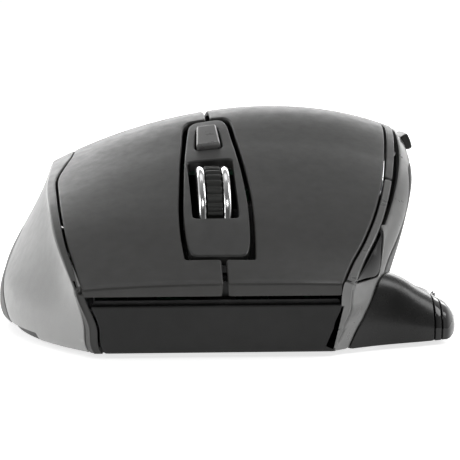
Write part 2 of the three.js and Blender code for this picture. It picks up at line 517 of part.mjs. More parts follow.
let base = planBlock(basePlan(), FOOT_H, BASE_TOP);
base = union(base, ...BOARD_SCREWS.map(([x, y]) =>
  cylinder(2.6, BOARD_Z - 0.3 - BASE_TOP + 0.4, new THREE.Vector3(x, y, (BOARD_Z - 0.3 + BASE_TOP - 0.4) / 2),
    UP, 14)));
base = cut(base, box(DOOR.x0 - 0.3, DOOR.x1 + 0.3, DOOR.y0 - 0.3, DOOR.y1 + 0.3, 0, 4),
  box(POWER.x0, POWER.x1, POWER.y0, POWER.y1, 0, 4),
  ...PALM_SCREWS.map(([x, y]) => cylinder(1.6, 6, new THREE.Vector3(x, y, 2), UP, 12)),
  ...BOARD_SCREWS.map(([x, y]) => cylinder(1.3, 12, new THREE.Vector3(x, y, 6), UP, 12)));
add('base_plate', base, 'frame');

FEET.forEach(([x, y, w, d], i) =>
  add(`foot_${i + 1}`, roundBox(x - w / 2, x + w / 2, y - d / 2, y + d / 2, 0, FOOT_H - 0.02, 2.0), 'foot'));

// Screws: head below, shank above, along +Z from the underside.
function screw(x, y, z, head, shank, reach) {
  return turned([[0, 0], [head, 0], [head, 0.9], [shank, 1.3], [shank, reach], [0, reach]],
    new THREE.Vector3(x, y, z), UP, 12);
}
PALM_SCREWS.forEach(([x, y], i) =>
  add(`cover_screw_${i + 1}`, screw(x, y, BASE_TOP + 0.05, 2.2, 1.1, 8), 'steel'));
BOARD_SCREWS.forEach(([x, y], i) => add(`board_screw_${i + 1}`,
  turned([[0, 0], [1.1, 0], [1.1, 5.6], [2.3, 5.7], [2.3, 6.9], [0, 6.9]],
    new THREE.Vector3(x, y, BOARD_Z + BOARD_T + 0.1 - 5.65), UP, 12), 'steel'));

const doorPlate = box(DOOR.x0, DOOR.x1, DOOR.y0, DOOR.y1, FOOT_H + 0.1, BASE_TOP - 0.1);
add('battery_door', cut(doorPlate, roundBox(-23, -17, DOOR.y0 + 3, DOOR.y0 + 7, 0, 1.3, 1.5)), 'frame');
const powerKnob = box(POWER.x0 + 0.3, POWER.x0 + POWER.knob, POWER.y0 + 0.3, POWER.y1 - 0.3,
  FOOT_H + 0.1, BASE_TOP + 0.3);
const powerSlide = box(POWER.x0 - 1.2, POWER.x0 + POWER.knob + 1.2, POWER.y0 - 0.8, POWER.y1 + 0.8,
  BASE_TOP + 0.2, BASE_TOP + 1.2);
add('power_switch', union(powerKnob, powerSlide), 'part');

const bayRoom = box(BAY.x0 + BAY.wall, BAY.x1 - BAY.wall, BAY.y0 + BAY.wall, BAY.y1 - BAY.wall,
  -5, BAY.top - BAY.wall);
add('battery_bay', cut(box(BAY.x0, BAY.x1, BAY.y0, BAY.y1, BASE_TOP + 0.3, BAY.top), bayRoom), 'frame');
const along = new THREE.Vector3(0, 1, 0);
const cellProfile = [[0, -24.5], [BATTERY.radius, -24.5], [BATTERY.radius, 23.2], [2.7, 23.3],
  [2.7, 24.5], [0, 24.5]];
add('battery', turned(cellProfile,
  new THREE.Vector3(BATTERY.x, BATTERY.y, BATTERY.z), along, 24), 'cell');

// The negative contact is a conical coil of wire, the positive one a sprung plate.
class ConeCoil extends THREE.Curve {
  getPoint(t, target = new THREE.Vector3()) {
    const angle = t * 3 * 2 * Math.PI;
    const r = 4.2 - 1.8 * t;
    const y = BAY.y0 + BAY.wall + 0.45 + 1.35 * t;
    return target.set(BATTERY.x + r * Math.cos(angle), y, BATTERY.z + r * Math.sin(angle));
  }
}
const wire = new THREE.Shape().absarc(0, 0, 0.22, 0, 2 * Math.PI);
add('battery_spring', solid(new THREE.ExtrudeGeometry(wire,
  { steps: 36, extrudePath: new ConeCoil(), curveSegments: 2, bevelEnabled: false })), 'steel');
add('battery_contact', box(BATTERY.x - 4, BATTERY.x + 4, BAY.y1 - BAY.wall - 0.7, BAY.y1 - BAY.wall - 0.3,
  BATTERY.z - 5, BATTERY.z + 5), 'steel');

const board = cut(box(BOARD.x0, BOARD.x1, BOARD.y0, BOARD.y1, BOARD_Z, BOARD_Z + BOARD_T),
  ...BOARD_SCREWS.map(([x, y]) => cylinder(1.4, 6, new THREE.Vector3(x, y, BOARD_Z), UP, 12)),
  planBlock([[12, -57], [17, -57], [17, -50]], 4, 9));
add('main_circuit_board', board, 'board');

// ---------------------------------------------------------------- click switches
function microSwitch([x, y]) {
  const top = SWITCH_Z + SWITCH.height;
  const halfW = SWITCH.width / 2;
  const halfL = SWITCH.length / 2;
  return union(
    box(x - halfW, x + halfW, y - halfL, y + halfL, SWITCH_Z, top),
    box(x - 1.4, x + 1.4, y - 4.2, y - 3.0, top - 0.5, PLUNGER_TOP));
}
add('left_click_switch', microSwitch(CLICKS.left), 'part');
add('right_click_switch', microSwitch(CLICKS.right), 'part');
add('middle_click_switch', microSwitch(CLICKS.middle), 'part');

// ---------------------------------------------------------------- the scroll wheel
const wheelAt = new THREE.Vector3(WHEEL.x, WHEEL.y, WHEEL.z);
const across = new THREE.Vector3(1, 0, 0);
const RIM = WHEEL.radius;
const hubProfile = [[1.6, -3.4], [11.4, -3.4], [RIM - 0.3, -3.1], [RIM, -2.5], [RIM - 0.4, -1.75],
  [10.4, -1.75], [10.4, 1.75], [RIM - 0.4, 1.75], [RIM, 2.5], [RIM - 0.3, 3.1], [11.4, 3.4],
  [1.6, 3.4], [1.6, -3.4]];
add('wheel_hub', turned(hubProfile, wheelAt, across, 30), 'chrome');
const ribs = new THREE.Shape(Array.from({ length: 112 }, (_, i) => {
  const angle = (i / 112) * 2 * Math.PI;
  const r = RIM - (i % 4 < 2 ? 0.15 : 0.85);
  return new THREE.Vector2(r * Math.cos(angle), r * Math.sin(angle));
}));
ribs.holes.push(new THREE.Path().absarc(0, 0, 10.7, 0, 2 * Math.PI, true));
const ribbedBand = new THREE.ExtrudeGeometry(ribs, { depth: 2.9, bevelEnabled: false, curveSegments: 18 });
add('wheel_tyre', solid(ribbedBand,
  new THREE.Matrix4().makeTranslation(WHEEL.x - 1.45, WHEEL.y, WHEEL.z)
    .multiply(new THREE.Matrix4().makeRotationY(Math.PI / 2))), 'tyre');
add('wheel_axle', cylinder(1.3, 11.6, wheelAt, across, 16), 'steel');

function carrierSide(x0, x1) {
  return union(box(x0, x1, -46.5, -12.6, 12.2, 17), box(x0, x1, -31.5, -24.5, 16.5, 25.4));
}
const carrier = cut(union(
  carrierSide(WHEEL.x - 5.7, WHEEL.x - 4.5), carrierSide(WHEEL.x + 4.5, WHEEL.x + 5.7),
  box(WHEEL.x - 5.7, WHEEL.x + 5.7, -46.5, -43.4, 15.6, 17),
  box(WHEEL.x - 5.7, WHEEL.x + 5.7, -14, -12.6, 12.2, 17),
  box(WHEEL.x - 2.2, WHEEL.x + 2.2, -53, -46, 15.6, 17)), cylinder(1.6, 30, wheelAt, across, 16));
add('wheel_carrier', carrier, 'frame');
add('wheel_encoder', cut(box(WHEEL.x + 6.2, WHEEL.x + 9.6, -33.4, -22.6, SWITCH_Z, 26.8),
  cylinder(1.7, 2, wheelAt.clone().setX(WHEEL.x + 6.4), across, 12)), 'part');

// ---------------------------------------------------------------- the ball and its socket
const R = BALL.radius;
add('trackball', sphere(R, ballAt, 28, 16), 'ball');
const ringProfile = [[13.8, 4.3], [15.0, 4.3], [15.0, 7.2], [14.4, 7.8], [13.3, 7.8], [12.9, 7.2],
  [13.8, 4.3]];
add('ball_ring', turned(ringProfile, ballAt, ballAxis, 36), 'gloss');
const bowlArc = (r, from, to, steps) => Array.from({ length: steps + 1 }, (_, i) => {
  const a = THREE.MathUtils.degToRad(from + (to - from) * (i / steps));
  return [Math.max(r * Math.cos(a), 0), r * Math.sin(a)];
});
const bowl = turned([...bowlArc(R + 2.6, -90, 13, 8), ...bowlArc(R + 0.5, 15, -90, 8)], ballAt, ballAxis, 24);
const bearingAt = [90, 210, 330].map((deg) => {
  const turn = THREE.MathUtils.degToRad(deg);
  const side = new THREE.Vector3(0, 1, 0).applyAxisAngle(ballAxis, turn);
  const reach = R + 1.55;
  return ballAt.clone().addScaledVector(side, reach * 0.9).addScaledVector(ballAxis, -reach * 0.436);
});
const socketLegs = union(box(14, 20, -4.5, -1, BASE_TOP + 0.3, 10),
  box(14, 20, 17, 20.5, BASE_TOP + 0.3, 10));
const ballRoom = sphere(R + 0.7, ballAt, 20, 12);
add('ball_socket', cut(union(bowl, cut(socketLegs, ballRoom)),
  cylinder(3.1, 6, onAxis(-R - 1.5), ballAxis, 20), ...bearingAt.map((p) => sphere(1.58, p, 8, 6))), 'frame');
bearingAt.forEach((p, i) => add(`ball_bearing_${i + 1}`, sphere(1.2, p, 10, 6), 'ceramic'));
add('sensor_lens', turned([[0, -R - 2.6], [2.7, -R - 2.6], [2.7, -R - 1.4], [1.6, -R - 0.9], [0, -R - 0.8]],
  ballAt, ballAxis, 16), 'clear');
add('ball_sensor', box(5.2, 8.2, 4.4, 11.6, 14.4, 22.0), 'part');
add('sensor_board', box(3.7, 4.9, -1, 17, BASE_TOP + 0.3, 27), 'board');

// ---------------------------------------------------------------- side button switches
const sideBoardOutline = [[2, 36.3], [15, 36.3], [21, 32.6], [27, 31], [27, 36.0], [16, 38.8], [2, 39]];
add('side_switch_board', sideBlock(sideBoardOutline, 28.4, 29.6), 'board');
add('forward_switch', union(box(29.65, 33.2, 5.6, 10.4, 36.4, 38.4), box(33.1, 35.5, 7, 9, 36.8, 38.0)),
  'part');
add('back_switch', union(box(29.65, 33.2, 20, 24.6, 33.0, 35.6), box(33.1, 35.1, 21.2, 23.4, 33.6, 35.2)),
  'part');

const bounds = new THREE.Box3().setFromObject(assembly);
assembly.position.set(-(bounds.min.x + bounds.max.x) / 2, -(bounds.min.y + bounds.max.y) / 2, -bounds.min.z);

export default assembly;
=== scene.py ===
import json
import math

import bpy
import numpy as np
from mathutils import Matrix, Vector
from mathutils.geometry import delaunay_2d_cdt


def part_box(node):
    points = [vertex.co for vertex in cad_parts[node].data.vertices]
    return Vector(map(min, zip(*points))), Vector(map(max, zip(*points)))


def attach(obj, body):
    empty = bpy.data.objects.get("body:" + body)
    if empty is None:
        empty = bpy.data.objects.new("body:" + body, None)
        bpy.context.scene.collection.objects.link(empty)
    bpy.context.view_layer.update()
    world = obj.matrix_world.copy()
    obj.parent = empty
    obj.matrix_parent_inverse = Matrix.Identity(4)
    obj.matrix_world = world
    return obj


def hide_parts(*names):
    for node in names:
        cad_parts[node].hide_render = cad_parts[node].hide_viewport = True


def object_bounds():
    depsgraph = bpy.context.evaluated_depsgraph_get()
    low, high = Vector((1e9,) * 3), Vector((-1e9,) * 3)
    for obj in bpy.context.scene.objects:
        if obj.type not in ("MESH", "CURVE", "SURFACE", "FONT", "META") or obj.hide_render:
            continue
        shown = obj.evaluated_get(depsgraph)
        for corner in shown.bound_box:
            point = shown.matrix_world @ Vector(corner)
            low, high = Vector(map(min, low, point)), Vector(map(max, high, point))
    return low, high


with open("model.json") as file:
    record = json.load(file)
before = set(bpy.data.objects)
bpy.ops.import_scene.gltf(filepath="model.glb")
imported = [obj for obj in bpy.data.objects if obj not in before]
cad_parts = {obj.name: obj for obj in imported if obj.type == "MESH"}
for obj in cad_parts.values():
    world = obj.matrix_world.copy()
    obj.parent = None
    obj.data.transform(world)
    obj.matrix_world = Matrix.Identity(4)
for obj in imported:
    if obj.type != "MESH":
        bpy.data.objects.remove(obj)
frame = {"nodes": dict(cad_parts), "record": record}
cad_low, cad_high = [list(map(float, corner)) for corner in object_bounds()]

# ---- design lines, in mm
# The lines are drawn about their own origin; the ball's centre says where that is in the frame.
BALL = np.array([25.2, 8.0, 19.3])
BALL_R = 14.0
BALL_TILT = math.radians(4)
low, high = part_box("trackball")
SHIFT = (np.array(low) + np.array(high)) * 500.0 - BALL

FRONT_Y, APEX_Y, REAR_Y = -61.0, 8.0, 62.0
SPINE_X = -4.6
SKIRT_Z, LIP_Z = 2.3, 11.9
BOTTOM = 0.9
STATION_Y = [-61, -52, -42, -30, -15, 8]
OUTLINE = {
    "groundLeftX": [-29.4, -35.3, -40.0, -43.8, -46.0, -46.0],
    "bulgeLeftX": [-30.6, -36.4, -41.6, -45.8, -48.4, -48.2],
    "bulgeLeftZ": [5.0, 5.5, 6.0, 6.0, 6.0, 6.5],
    "shoulderLeftX": [-33.4, -35.3, -37.1, -38.1, -38.6, -37.4],
    "shoulderLeftZ": [13.3, 17.6, 22.0, 26.0, 29.3, 32.6],
    "crownZ": [14.4, 19.6, 25.4, 31.2, 37.5, 43.9],
    "crownLean": [0, 0.5, 1.0, 2.5, 4.0, 6.5],
    "shoulderRightX": [21.0, 23.9, 28.0, 31.6, 34.6, 36.8],
    "shoulderRightZ": [14.2, 17.6, 22.4, 28.0, 33.9, 40.2],
    "bulgeRightX": [20.2, 26.3, 30.6, 34.8, 38.4, 39.2],
    "bulgeRightZ": [10.0, 12.0, 17.0, 23.5, 30.0, 35.2],
    "scoop": [0, 0, 0, 0.05, 0.3, 0.85],
    "waistRightX": [18.6, 26.2, 29.6, 31.0, 31.4, 31.2],
    "waistRightZ": [5.0, 8.0, 11.0, 13.0, 14.0, 14.0],
    "groundRightX": [16.8, 25.2, 28.5, 30.0, 30.4, 30.2],
}


def spline(xs, values):
    """A smooth curve through (xs, values) that is level at its last station."""
    xs = np.array(xs, float)
    vs = np.array(values, float)
    h = np.diff(xs)
    d = np.diff(vs) / h
    slope = np.zeros(len(xs))
    slope[0] = d[0]
    slope[1:-1] = (d[:-1] * h[1:] + d[1:] * h[:-1]) / (h[1:] + h[:-1])

    def at(x):
        x = np.asarray(x, float)
        i = np.clip(np.searchsorted(xs, x, side="left") - 1, 0, len(xs) - 2)
        t = np.clip((x - xs[i]) / h[i], 0, 1)
        a = (1 + 2 * t) * (1 - t) ** 2 * vs[i] + t * (1 - t) ** 2 * h[i] * slope[i]
        return a + t * t * (3 - 2 * t) * vs[i + 1] + t * t * (t - 1) * h[i] * slope[i + 1]

    return at


CURVE = {k: spline(STATION_Y, v) for k, v in OUTLINE.items()}


def outline_at(y):
    """The outline's numbers at y, closing like a superellipse behind the apex."""
    s = np.clip((y - APEX_Y) / (REAR_Y - APEX_Y), 0, 1)
    wide = (1 - s ** 2.4) ** (1 / 2.4)
    tall = (1 - s ** 2.1) ** 0.6
    o = {}
    for key, curve in CURVE.items():
        v = curve(np.minimum(y, APEX_Y))
        if key == "scoop":
            o[key] = v
        elif key.endswith("X"):
            o[key] = SPINE_X + (v - SPINE_X) * wide
        else:
            o[key] = v * tall
    return o


def level(p, q):
    """Both as float arrays of one shape."""
    return np.broadcast_arrays(np.asarray(p, float), np.asarray(q, float))


def bezier(a, b, c, d, t):
    s = 1 - t
    return s ** 3 * a + 3 * s * s * t * b + 3 * s * t * t * c + t ** 3 * d


def body_point(t, y):
    """A point of the body's skin: t runs 0..6 round the section at y, from the finger side's foot,
    by its bulge (1), its crease (2), over the top to the thumb side's crease (3), bulge (4),
    waist (5) and foot (6)."""
    t, y = level(t, y)
    o = outline_at(y)
    gl = (o["groundLeftX"], np.full_like(y, BOTTOM))
    bl = (o["bulgeLeftX"], np.maximum(o["bulgeLeftZ"], BOTTOM + 0.1))
    sl = (o["shoulderLeftX"], o["shoulderLeftZ"])
    sr = (o["shoulderRightX"], o["shoulderRightZ"])
    br = (o["bulgeRightX"], o["bulgeRightZ"])
    wr = (o["waistRightX"], np.maximum(o["waistRightZ"], BOTTOM + 0.2))
    gr = (o["groundRightX"], np.full_like(y, BOTTOM))
    width = sr[0] - sl[0]
    handles = (8 * o["crownZ"] - sl[1] - sr[1]) / 3
    lean, scoop = o["crownLean"], o["scoop"]
    dl, dr, dw = sl[1] - bl[1], sr[1] - br[1], br[1] - wr[1]
    knots = [
        (gl, (bl[0], BOTTOM + 0.2 * (bl[1] - BOTTOM)), (bl[0], bl[1] * 0.7), bl),
        (bl, (bl[0], bl[1] + 0.3 * dl), (sl[0] - 0.25 * (sl[0] - bl[0]), sl[1] - 0.4 * dl), sl),
        (sl, (sl[0] + 0.27 * width, (handles - lean) / 2),
         (sr[0] - 0.33 * width, (handles + lean) / 2), sr),
        (sr, (sr[0] + 0.7 * (br[0] - sr[0]), sr[1] - 0.15 * dr), (br[0], br[1] + 0.4 * dr), br),
        (br, (br[0] - 0.9 * scoop * (br[0] - wr[0]), br[1] - (0.4 - 0.25 * scoop) * dw),
         (wr[0] + 0.1, wr[1] + (0.35 + 0.3 * scoop) * dw), wr),
        (wr, (wr[0] * 0.67 + gr[0] * 0.33, wr[1] * 0.67 + gr[1] * 0.33),
         (wr[0] * 0.33 + gr[0] * 0.67, wr[1] * 0.33 + gr[1] * 0.67), gr),
    ]
    seg = np.clip(np.floor(t), 0, 5).astype(int)
    u = t - seg
    x = np.zeros_like(y)
    z = np.zeros_like(y)
    for i, (a, b, c, d) in enumerate(knots):
        here = seg == i
        x[here] = bezier(a[0], b[0], c[0], d[0], u)[here]
        z[here] = bezier(a[1], b[1], c[1], d[1], u)[here]
    return np.stack([x, y, z], -1)


def bisect(f, lo, hi, steps=36):
    """Where the rising function f crosses zero, element by element."""
    lo, hi = np.array(lo, float), np.array(hi, float)
    for _ in range(steps):
        mid = (lo + hi) / 2
        up = f(mid) < 0
        lo = np.where(up, mid, lo)
        hi = np.where(up, hi, mid)
    return (lo + hi) / 2


# The runs of t over the top and down the two flanks, each a hair inside its creases.
TOP_RUN, LEFT_RUN, RIGHT_RUN = (2.0, 2.999999), (0.0, 1.999999), (3.000001, 6.0)


def find_t(value, y, axis, run, way):
    """Where in a run of t the skin at y has that X (axis 0) or Z (axis 2); way -1: it falls with t."""
    value, y = level(value, y)
    first, last = np.full(value.shape, run[0]), np.full(value.shape, run[1])
    return bisect(lambda t: way * (body_point(t, y)[..., axis] - value), first, last)


def top_t(x, y):
    return find_t(x, y, 0, TOP_RUN, 1)


def left_t(z, y):
    return find_t(z, y, 2, LEFT_RUN, 1)


def right_t(z, y):
    return find_t(z, y, 2, RIGHT_RUN, -1)


# ---- panels cut from a skin
# A skin turns a flat drawing (p, q), roughly in mm, into points in space.
REAR_REACH = REAR_Y - APEX_Y


def body_skin(scale, first, last, lift=0.0):
    """The body's skin between two section knots; p is t * scale and q grows faster than y at the rear."""
    def point(p, q):
        t = np.clip(np.asarray(p) / scale, first, last)
        bend = np.clip((q - APEX_Y) / REAR_REACH, 0, math.pi / 2)
        y = np.where(q > APEX_Y, APEX_Y + REAR_REACH * np.sin(bend), q)
        return body_point(t, np.minimum(y, REAR_Y - 0.02))

    def raised(p, q):
        at = point(p, q)
        if lift == 0:
            return at
        return at + lift * normals_of(point, p, q)

    return raised


def q_of(y):
    """The drawing's q for a Y on the body's skin."""
    s = np.clip((np.asarray(y, float) - APEX_Y) / REAR_REACH, 0, 1)
    return np.where(np.asarray(y) > APEX_Y, APEX_Y + REAR_REACH * np.arcsin(s), y)


def jacobian(skin, p, q, e=0.02):
    dp = (skin(p + e, q) - skin(p - e, q)) / (2 * e)
    dq = (skin(p, q + e) - skin(p, q - e)) / (2 * e)
    return dp, dq


def normals_of(skin, p, q):
    dp, dq = jacobian(skin, p, q)
    return unit(np.cross(dp, dq))


def through(p0, p1, p2, p3, gaps, t):
    """The points at t on a smooth curve from p1 to p2; gaps are the square roots of the three distances."""
    m1 = (p2 - p1) + gaps[1] * ((p1 - p0) / gaps[0] - (p2 - p0) / (gaps[0] + gaps[1]))
    m2 = (p2 - p1) + gaps[1] * ((p3 - p2) / gaps[2] - (p3 - p1) / (gaps[1] + gaps[2]))
    return ((2 * t ** 3 - 3 * t ** 2 + 1) * p1 + (t ** 3 - 2 * t ** 2 + t) * m1
            + (-2 * t ** 3 + 3 * t ** 2) * p2 + (t ** 3 - t ** 2) * m2)


def catmull(points, spacing=0.6):
    """A smooth open curve through the points, sampled at about that spacing."""
    pts = np.array(points, float)
    ext = np.vstack([2 * pts[0] - pts[1], pts, 2 * pts[-1] - pts[-2]])
    out = []
    for i in range(1, len(ext) - 2):
        four = ext[i - 1:i + 3]
        gaps = [max(np.linalg.norm(b - a), 1e-6) ** 0.5 for a, b in zip(four, four[1:])]
        n = max(int(np.linalg.norm(four[2] - four[1]) / spacing), 1)
        out.append(through(*four, gaps, (np.arange(n) / n)[:, None]))
    return np.vstack(out + [pts[-1:]])


def pairs(p, q):
    """Flat points (p, q), where either may be one number for them all."""
    return np.stack(level(p, q), -1)


def line(a, b, spacing=0.6):
    n = max(int(np.linalg.norm(np.subtract(b, a)) / spacing), 1)
    t = np.linspace(0, 1, n + 1)[:, None]
    return np.array(a, float) * (1 - t) + np.array(b, float) * t


def joined(*curves):
    """One closed loop from curves laid end to end, without repeated points."""
    pts = np.vstack([np.array(c, float) for c in curves])
    keep = [0]
    for i in range(1, len(pts)):
        if np.linalg.norm(pts[i] - pts[keep[-1]]) > 0.05:
            keep.append(i)
    if np.linalg.norm(pts[keep[-1]] - pts[0]) < 0.05:
        keep.pop()
    return pts[keep]


def path(*corners):
    """Straight lines from corner to corner."""
    return np.vstack([line(a, b) for a, b in zip(corners, corners[1:])])


def polygon(*corners):
    return joined(path(*corners, corners[0]))


def area_of(loop):
    x, y = loop[:, 0], loop[:, 1]
    return 0.5 * np.sum(x * np.roll(y, -1) - np.roll(x, -1) * y)


def resample(loop, spacing):
    closed = np.vstack([loop, loop[:1]])
    run = np.concatenate([[0], np.cumsum(np.linalg.norm(np.diff(closed, axis=0), axis=1))])
    n = max(int(run[-1] / spacing), 8)
    at = np.linspace(0, run[-1], n, endpoint=False)
    return np.stack([np.interp(at, run, closed[:, k]) for k in range(2)], -1)


def rounded(loop, radius, spacing):
    """The loop evenly resampled, with its corners rounded to about that radius."""
    fine = resample(loop, spacing / 3)
    passes = max(int((radius / (spacing / 3)) ** 2 * 0.5), 1)
    for _ in range(passes):
        fine = 0.5 * fine + 0.25 * (np.roll(fine, 1, axis=0) + np.roll(fine, -1, axis=0))
    return resample(fine, spacing)


def inside(points, loops):
    hit = np.zeros(len(points), bool)
    x, y = points[:, 0][:, None], points[:, 1][:, None]
    for loop in loops:
        ax, ay = loop[:, 0][None], loop[:, 1][None]
        bx, by = np.roll(loop[:, 0], -1)[None], np.roll(loop[:, 1], -1)[None]
        span = (ay > y) != (by > y)
        with np.errstate(divide="ignore", invalid="ignore"):
            cross = (bx - ax) * (y - ay) / (by - ay) + ax
        hit ^= (np.sum(span & (x < cross), axis=1) % 2).astype(bool)
    return hit


def near(points, others, distance):
    close = np.zeros(len(points), bool)
    for i in range(0, len(points), 2000):
        gap = points[i:i + 2000, None, :] - others[None, :, :]
        close[i:i + 2000] = (gap ** 2).sum(-1).min(1) < distance * distance
    return close


def unit(v):
    return v / np.maximum(np.linalg.norm(v, axis=-1, keepdims=True), 1e-9)


def make_mesh(name, verts, faces, corner_normals, material):
    mesh = bpy.data.meshes.new(name)
    placed = (np.asarray(verts) + SHIFT) / 1000.0
    placed = np.clip(placed, np.array(cad_low) + 1e-6, np.array(cad_high) - 1e-6)
    mesh.from_pydata(placed.tolist(), [], faces)
    mesh.shade_smooth()
    if corner_normals is not None:
        mesh.normals_split_custom_set([tuple(n) for n in corner_normals])
    mesh.materials.append(material)
    obj = bpy.data.objects.new(name, mesh)
    bpy.context.collection.objects.link(obj)
    return obj


def panel(name, skin, loops, material, radius=0.35, depth=1.6, spacing=1.1, walls=None, edge=0.55, corner=0.7,
          rim_depth=None):
    """A shell cut from a skin: a rolled edge of that radius all round, walls of that depth and an inner
    face. Of the loops, the first is the outline and the others are openings; edge is the spacing along
    them, and corner about the radius of their corners. rim_depth(points) may give the walls a depth of
    their own, and walls(points) a mask of edge points, their walls' outward normal and their depth."""
    loops = [rounded(l, corner, edge) for l in loops]
    loops = [l if (area_of(l) > 0) == (i == 0) else l[::-1] for i, l in enumerate(loops)]
    verts, normals, faces, face_kind = [], [], [], []
    steps = 5
    inner_loops, inner_ids, floor_rim = [], [], []
    count = 0

    def push(points, ns):
        nonlocal count
        verts.append(points)
        normals.append(ns)
        ids = np.arange(count, count + len(points))
        count += len(points)
        return ids

    def strip(a, b, kind):
        n = len(a)
        for i in range(n):
            j = (i + 1) % n
            faces.append((int(a[i]), int(a[j]), int(b[j]), int(b[i])))
            face_kind.append(kind)

    for loop in loops:
        p, q = loop[:, 0], loop[:, 1]
        at = skin(p, q)
        n = normals_of(skin, p, q)
        tangent = unit(np.roll(at, -1, axis=0) - np.roll(at, 1, axis=0))
        inward = unit(np.cross(n, tangent))
        out = -inward
        deep = np.full(len(loop), depth) if rim_depth is None else rim_depth(at)
        if walls is not None:
            mask, face_out, face_deep = walls(at)
            out = np.where(mask[:, None], face_out, out)
            deep = np.where(mask, face_deep, deep)
        angle = np.arccos(np.clip(np.sum(n * out, axis=1), -0.95, 0.95))
        side = unit(out - n * np.sum(n * out, axis=1)[:, None])
        run = radius * np.tan(angle / 2)
        rows = []
        for k in range(steps + 1):
            phi = angle * (1 - k / steps)
            bend = np.cos(phi)[:, None] * n + np.sin(phi)[:, None] * side
            rows.append((at - side * run[:, None] - n * radius + radius * bend, bend))
        down = unit(-n + out * np.sum(n * out, axis=1)[:, None])
        rim_at = rows[0][0] + down * np.maximum(deep - radius, 0.05)[:, None]
        rim = push(rim_at, out)
        ids = [rim] + [push(*row) for row in rows]
        for a, b in zip(ids[:-1], ids[1:]):
            strip(a, b, 0)
        dp, dq = jacobian(skin, p, q)
        move = -side * run[:, None]
        g11, g12, g22 = (dp * dp).sum(-1), (dp * dq).sum(-1), (dq * dq).sum(-1)
        r1, r2 = (dp * move).sum(-1), (dq * move).sum(-1)
        det = np.maximum(g11 * g22 - g12 * g12, 1e-9)
        flat = np.stack([p + (g22 * r1 - g12 * r2) / det, q + (g11 * r2 - g12 * r1) / det], -1)
        inner_loops.append(flat)
        inner_ids.append(ids[-1])
        floor_rim.append(rim)

    edge_pts = np.vstack(inner_loops)
    lo, hi = edge_pts.min(0), edge_pts.max(0)
    gx, gy = np.meshgrid(np.arange(lo[0], hi[0], spacing), np.arange(lo[1], hi[1], spacing))
    gx = gx + (np.arange(gx.shape[0]) % 2)[:, None] * spacing / 2
    grid = np.stack([gx.ravel(), gy.ravel()], -1)
    grid = grid[inside(grid, inner_loops)]
    grid = grid[~near(grid, edge_pts, 0.55 * min(spacing, 1.0))] if len(grid) else grid
    grid_n = normals_of(skin, grid[:, 0], grid[:, 1]) if len(grid) else np.zeros((0, 3))
    grid_at = skin(grid[:, 0], grid[:, 1]) if len(grid) else np.zeros((0, 3))
    grid_ids = push(grid_at, grid_n)
    flat_pts = np.vstack([edge_pts, grid])
    flat_ids = np.concatenate(inner_ids + [grid_ids])
    constraint = []
    start = 0
    for loop in inner_loops:
        m = len(loop)
        constraint += [(start + i, start + (i + 1) % m) for i in range(m)]
        start += m
    out_v, _, tris, orig_v, _, _ = delaunay_2d_cdt(
        [Vector(v) for v in flat_pts.tolist()], constraint, [], 0, 1e-5, True)
    # Where two edges of the drawing cross at a tight corner, the crossing becomes a point of its own.
    added = [i for i, ids in enumerate(orig_v) if not ids]
    spot = np.array([tuple(out_v[i]) for i in added]) if added else np.zeros((0, 2))
    added_ids = push(skin(*spot.T), normals_of(skin, *spot.T)) if added else []
    vertex_of = np.array([int(flat_ids[ids[0]]) if ids else -1 for ids in orig_v])
    vertex_of[added] = added_ids
    place_of = np.zeros(len(flat_pts), int)
    for i, ids in enumerate(orig_v):
        for k in ids:
            place_of[k] = i
    centres = np.array([[sum(out_v[i][k] for i in t) / 3 for k in range(2)] for t in tris])
    good = inside(centres, inner_loops)
    surface_n = np.vstack(normals)
    surface_v = np.vstack(verts)
    used = [t for t, ok in zip(tris, good) if ok and len(set(vertex_of[list(t)])) == 3]
    for t in used:
        faces.append(tuple(int(vertex_of[i]) for i in t))
        face_kind.append(0)
    # The inner face repeats the outer one, sunk by the wall's depth.
    sunk = surface_v[vertex_of] - surface_n[vertex_of] * depth
    base_ids = push(sunk, -surface_n[vertex_of])
    for t in used:
        a, b, c = (int(base_ids[i]) for i in t)
        faces.append((c, b, a))
        face_kind.append(1)
    start = 0
    for loop, rim in zip(inner_loops, floor_rim):
        ring = base_ids[place_of[start:start + len(loop)]]
        start += len(loop)
        strip(ring, rim, 1)
    all_n = np.vstack(normals)
    all_v = np.vstack(verts)
    corner_normals = []
    for face, kind in zip(faces, face_kind):
        if kind == 0:
            corner_normals += [all_n[i] for i in face]
        else:
            a, b, c = (all_v[i] for i in face[:3])
            flat_n = np.cross(b - a, c - b)
            size = np.linalg.norm(flat_n)
            flat_n = flat_n / size if size > 1e-12 else all_n[face[0]]
            corner_normals += [flat_n] * len(face)
    return make_mesh(name, all_v, faces, corner_normals, material)


# ---- materials
MAT = {}


def nodes_of(name):
    """A new material, kept in MAT under its name: its tree, its shader and its object coordinates."""
    m = MAT[name] = bpy.data.materials.new(name)
    m.use_nodes = True
    tree = m.node_tree
    shader = tree.nodes["Principled BSDF"]
    coords = tree.nodes.new("ShaderNodeTexCoord")
    return tree, shader, coords.outputs["Object"]


def add_node(tree, kind, links=(), **values):
    """A new shader node: links pairs its sockets with what feeds them; a value's name has _ for a space."""
    made = tree.nodes.new("ShaderNode" + kind)
    for name, value in values.items():
        made.inputs[name.replace("_", " ")].default_value = value
    for socket, source in links:
        tree.links.new(source, made.inputs[socket])
    return made


def noise(tree, coords, scale, detail=3.0, rough=0.5):
    made = add_node(tree, "TexNoise", [("Vector", coords)], Scale=scale, Detail=detail, Roughness=rough)
    return made.outputs["Fac"]


def spread(tree, value, low, high, start=0.3, end=0.7):
    limits = {"From_Min": start, "From_Max": end, "To_Min": low, "To_Max": high}
    return add_node(tree, "MapRange", [("Value", value)], **limits).outputs["Result"]


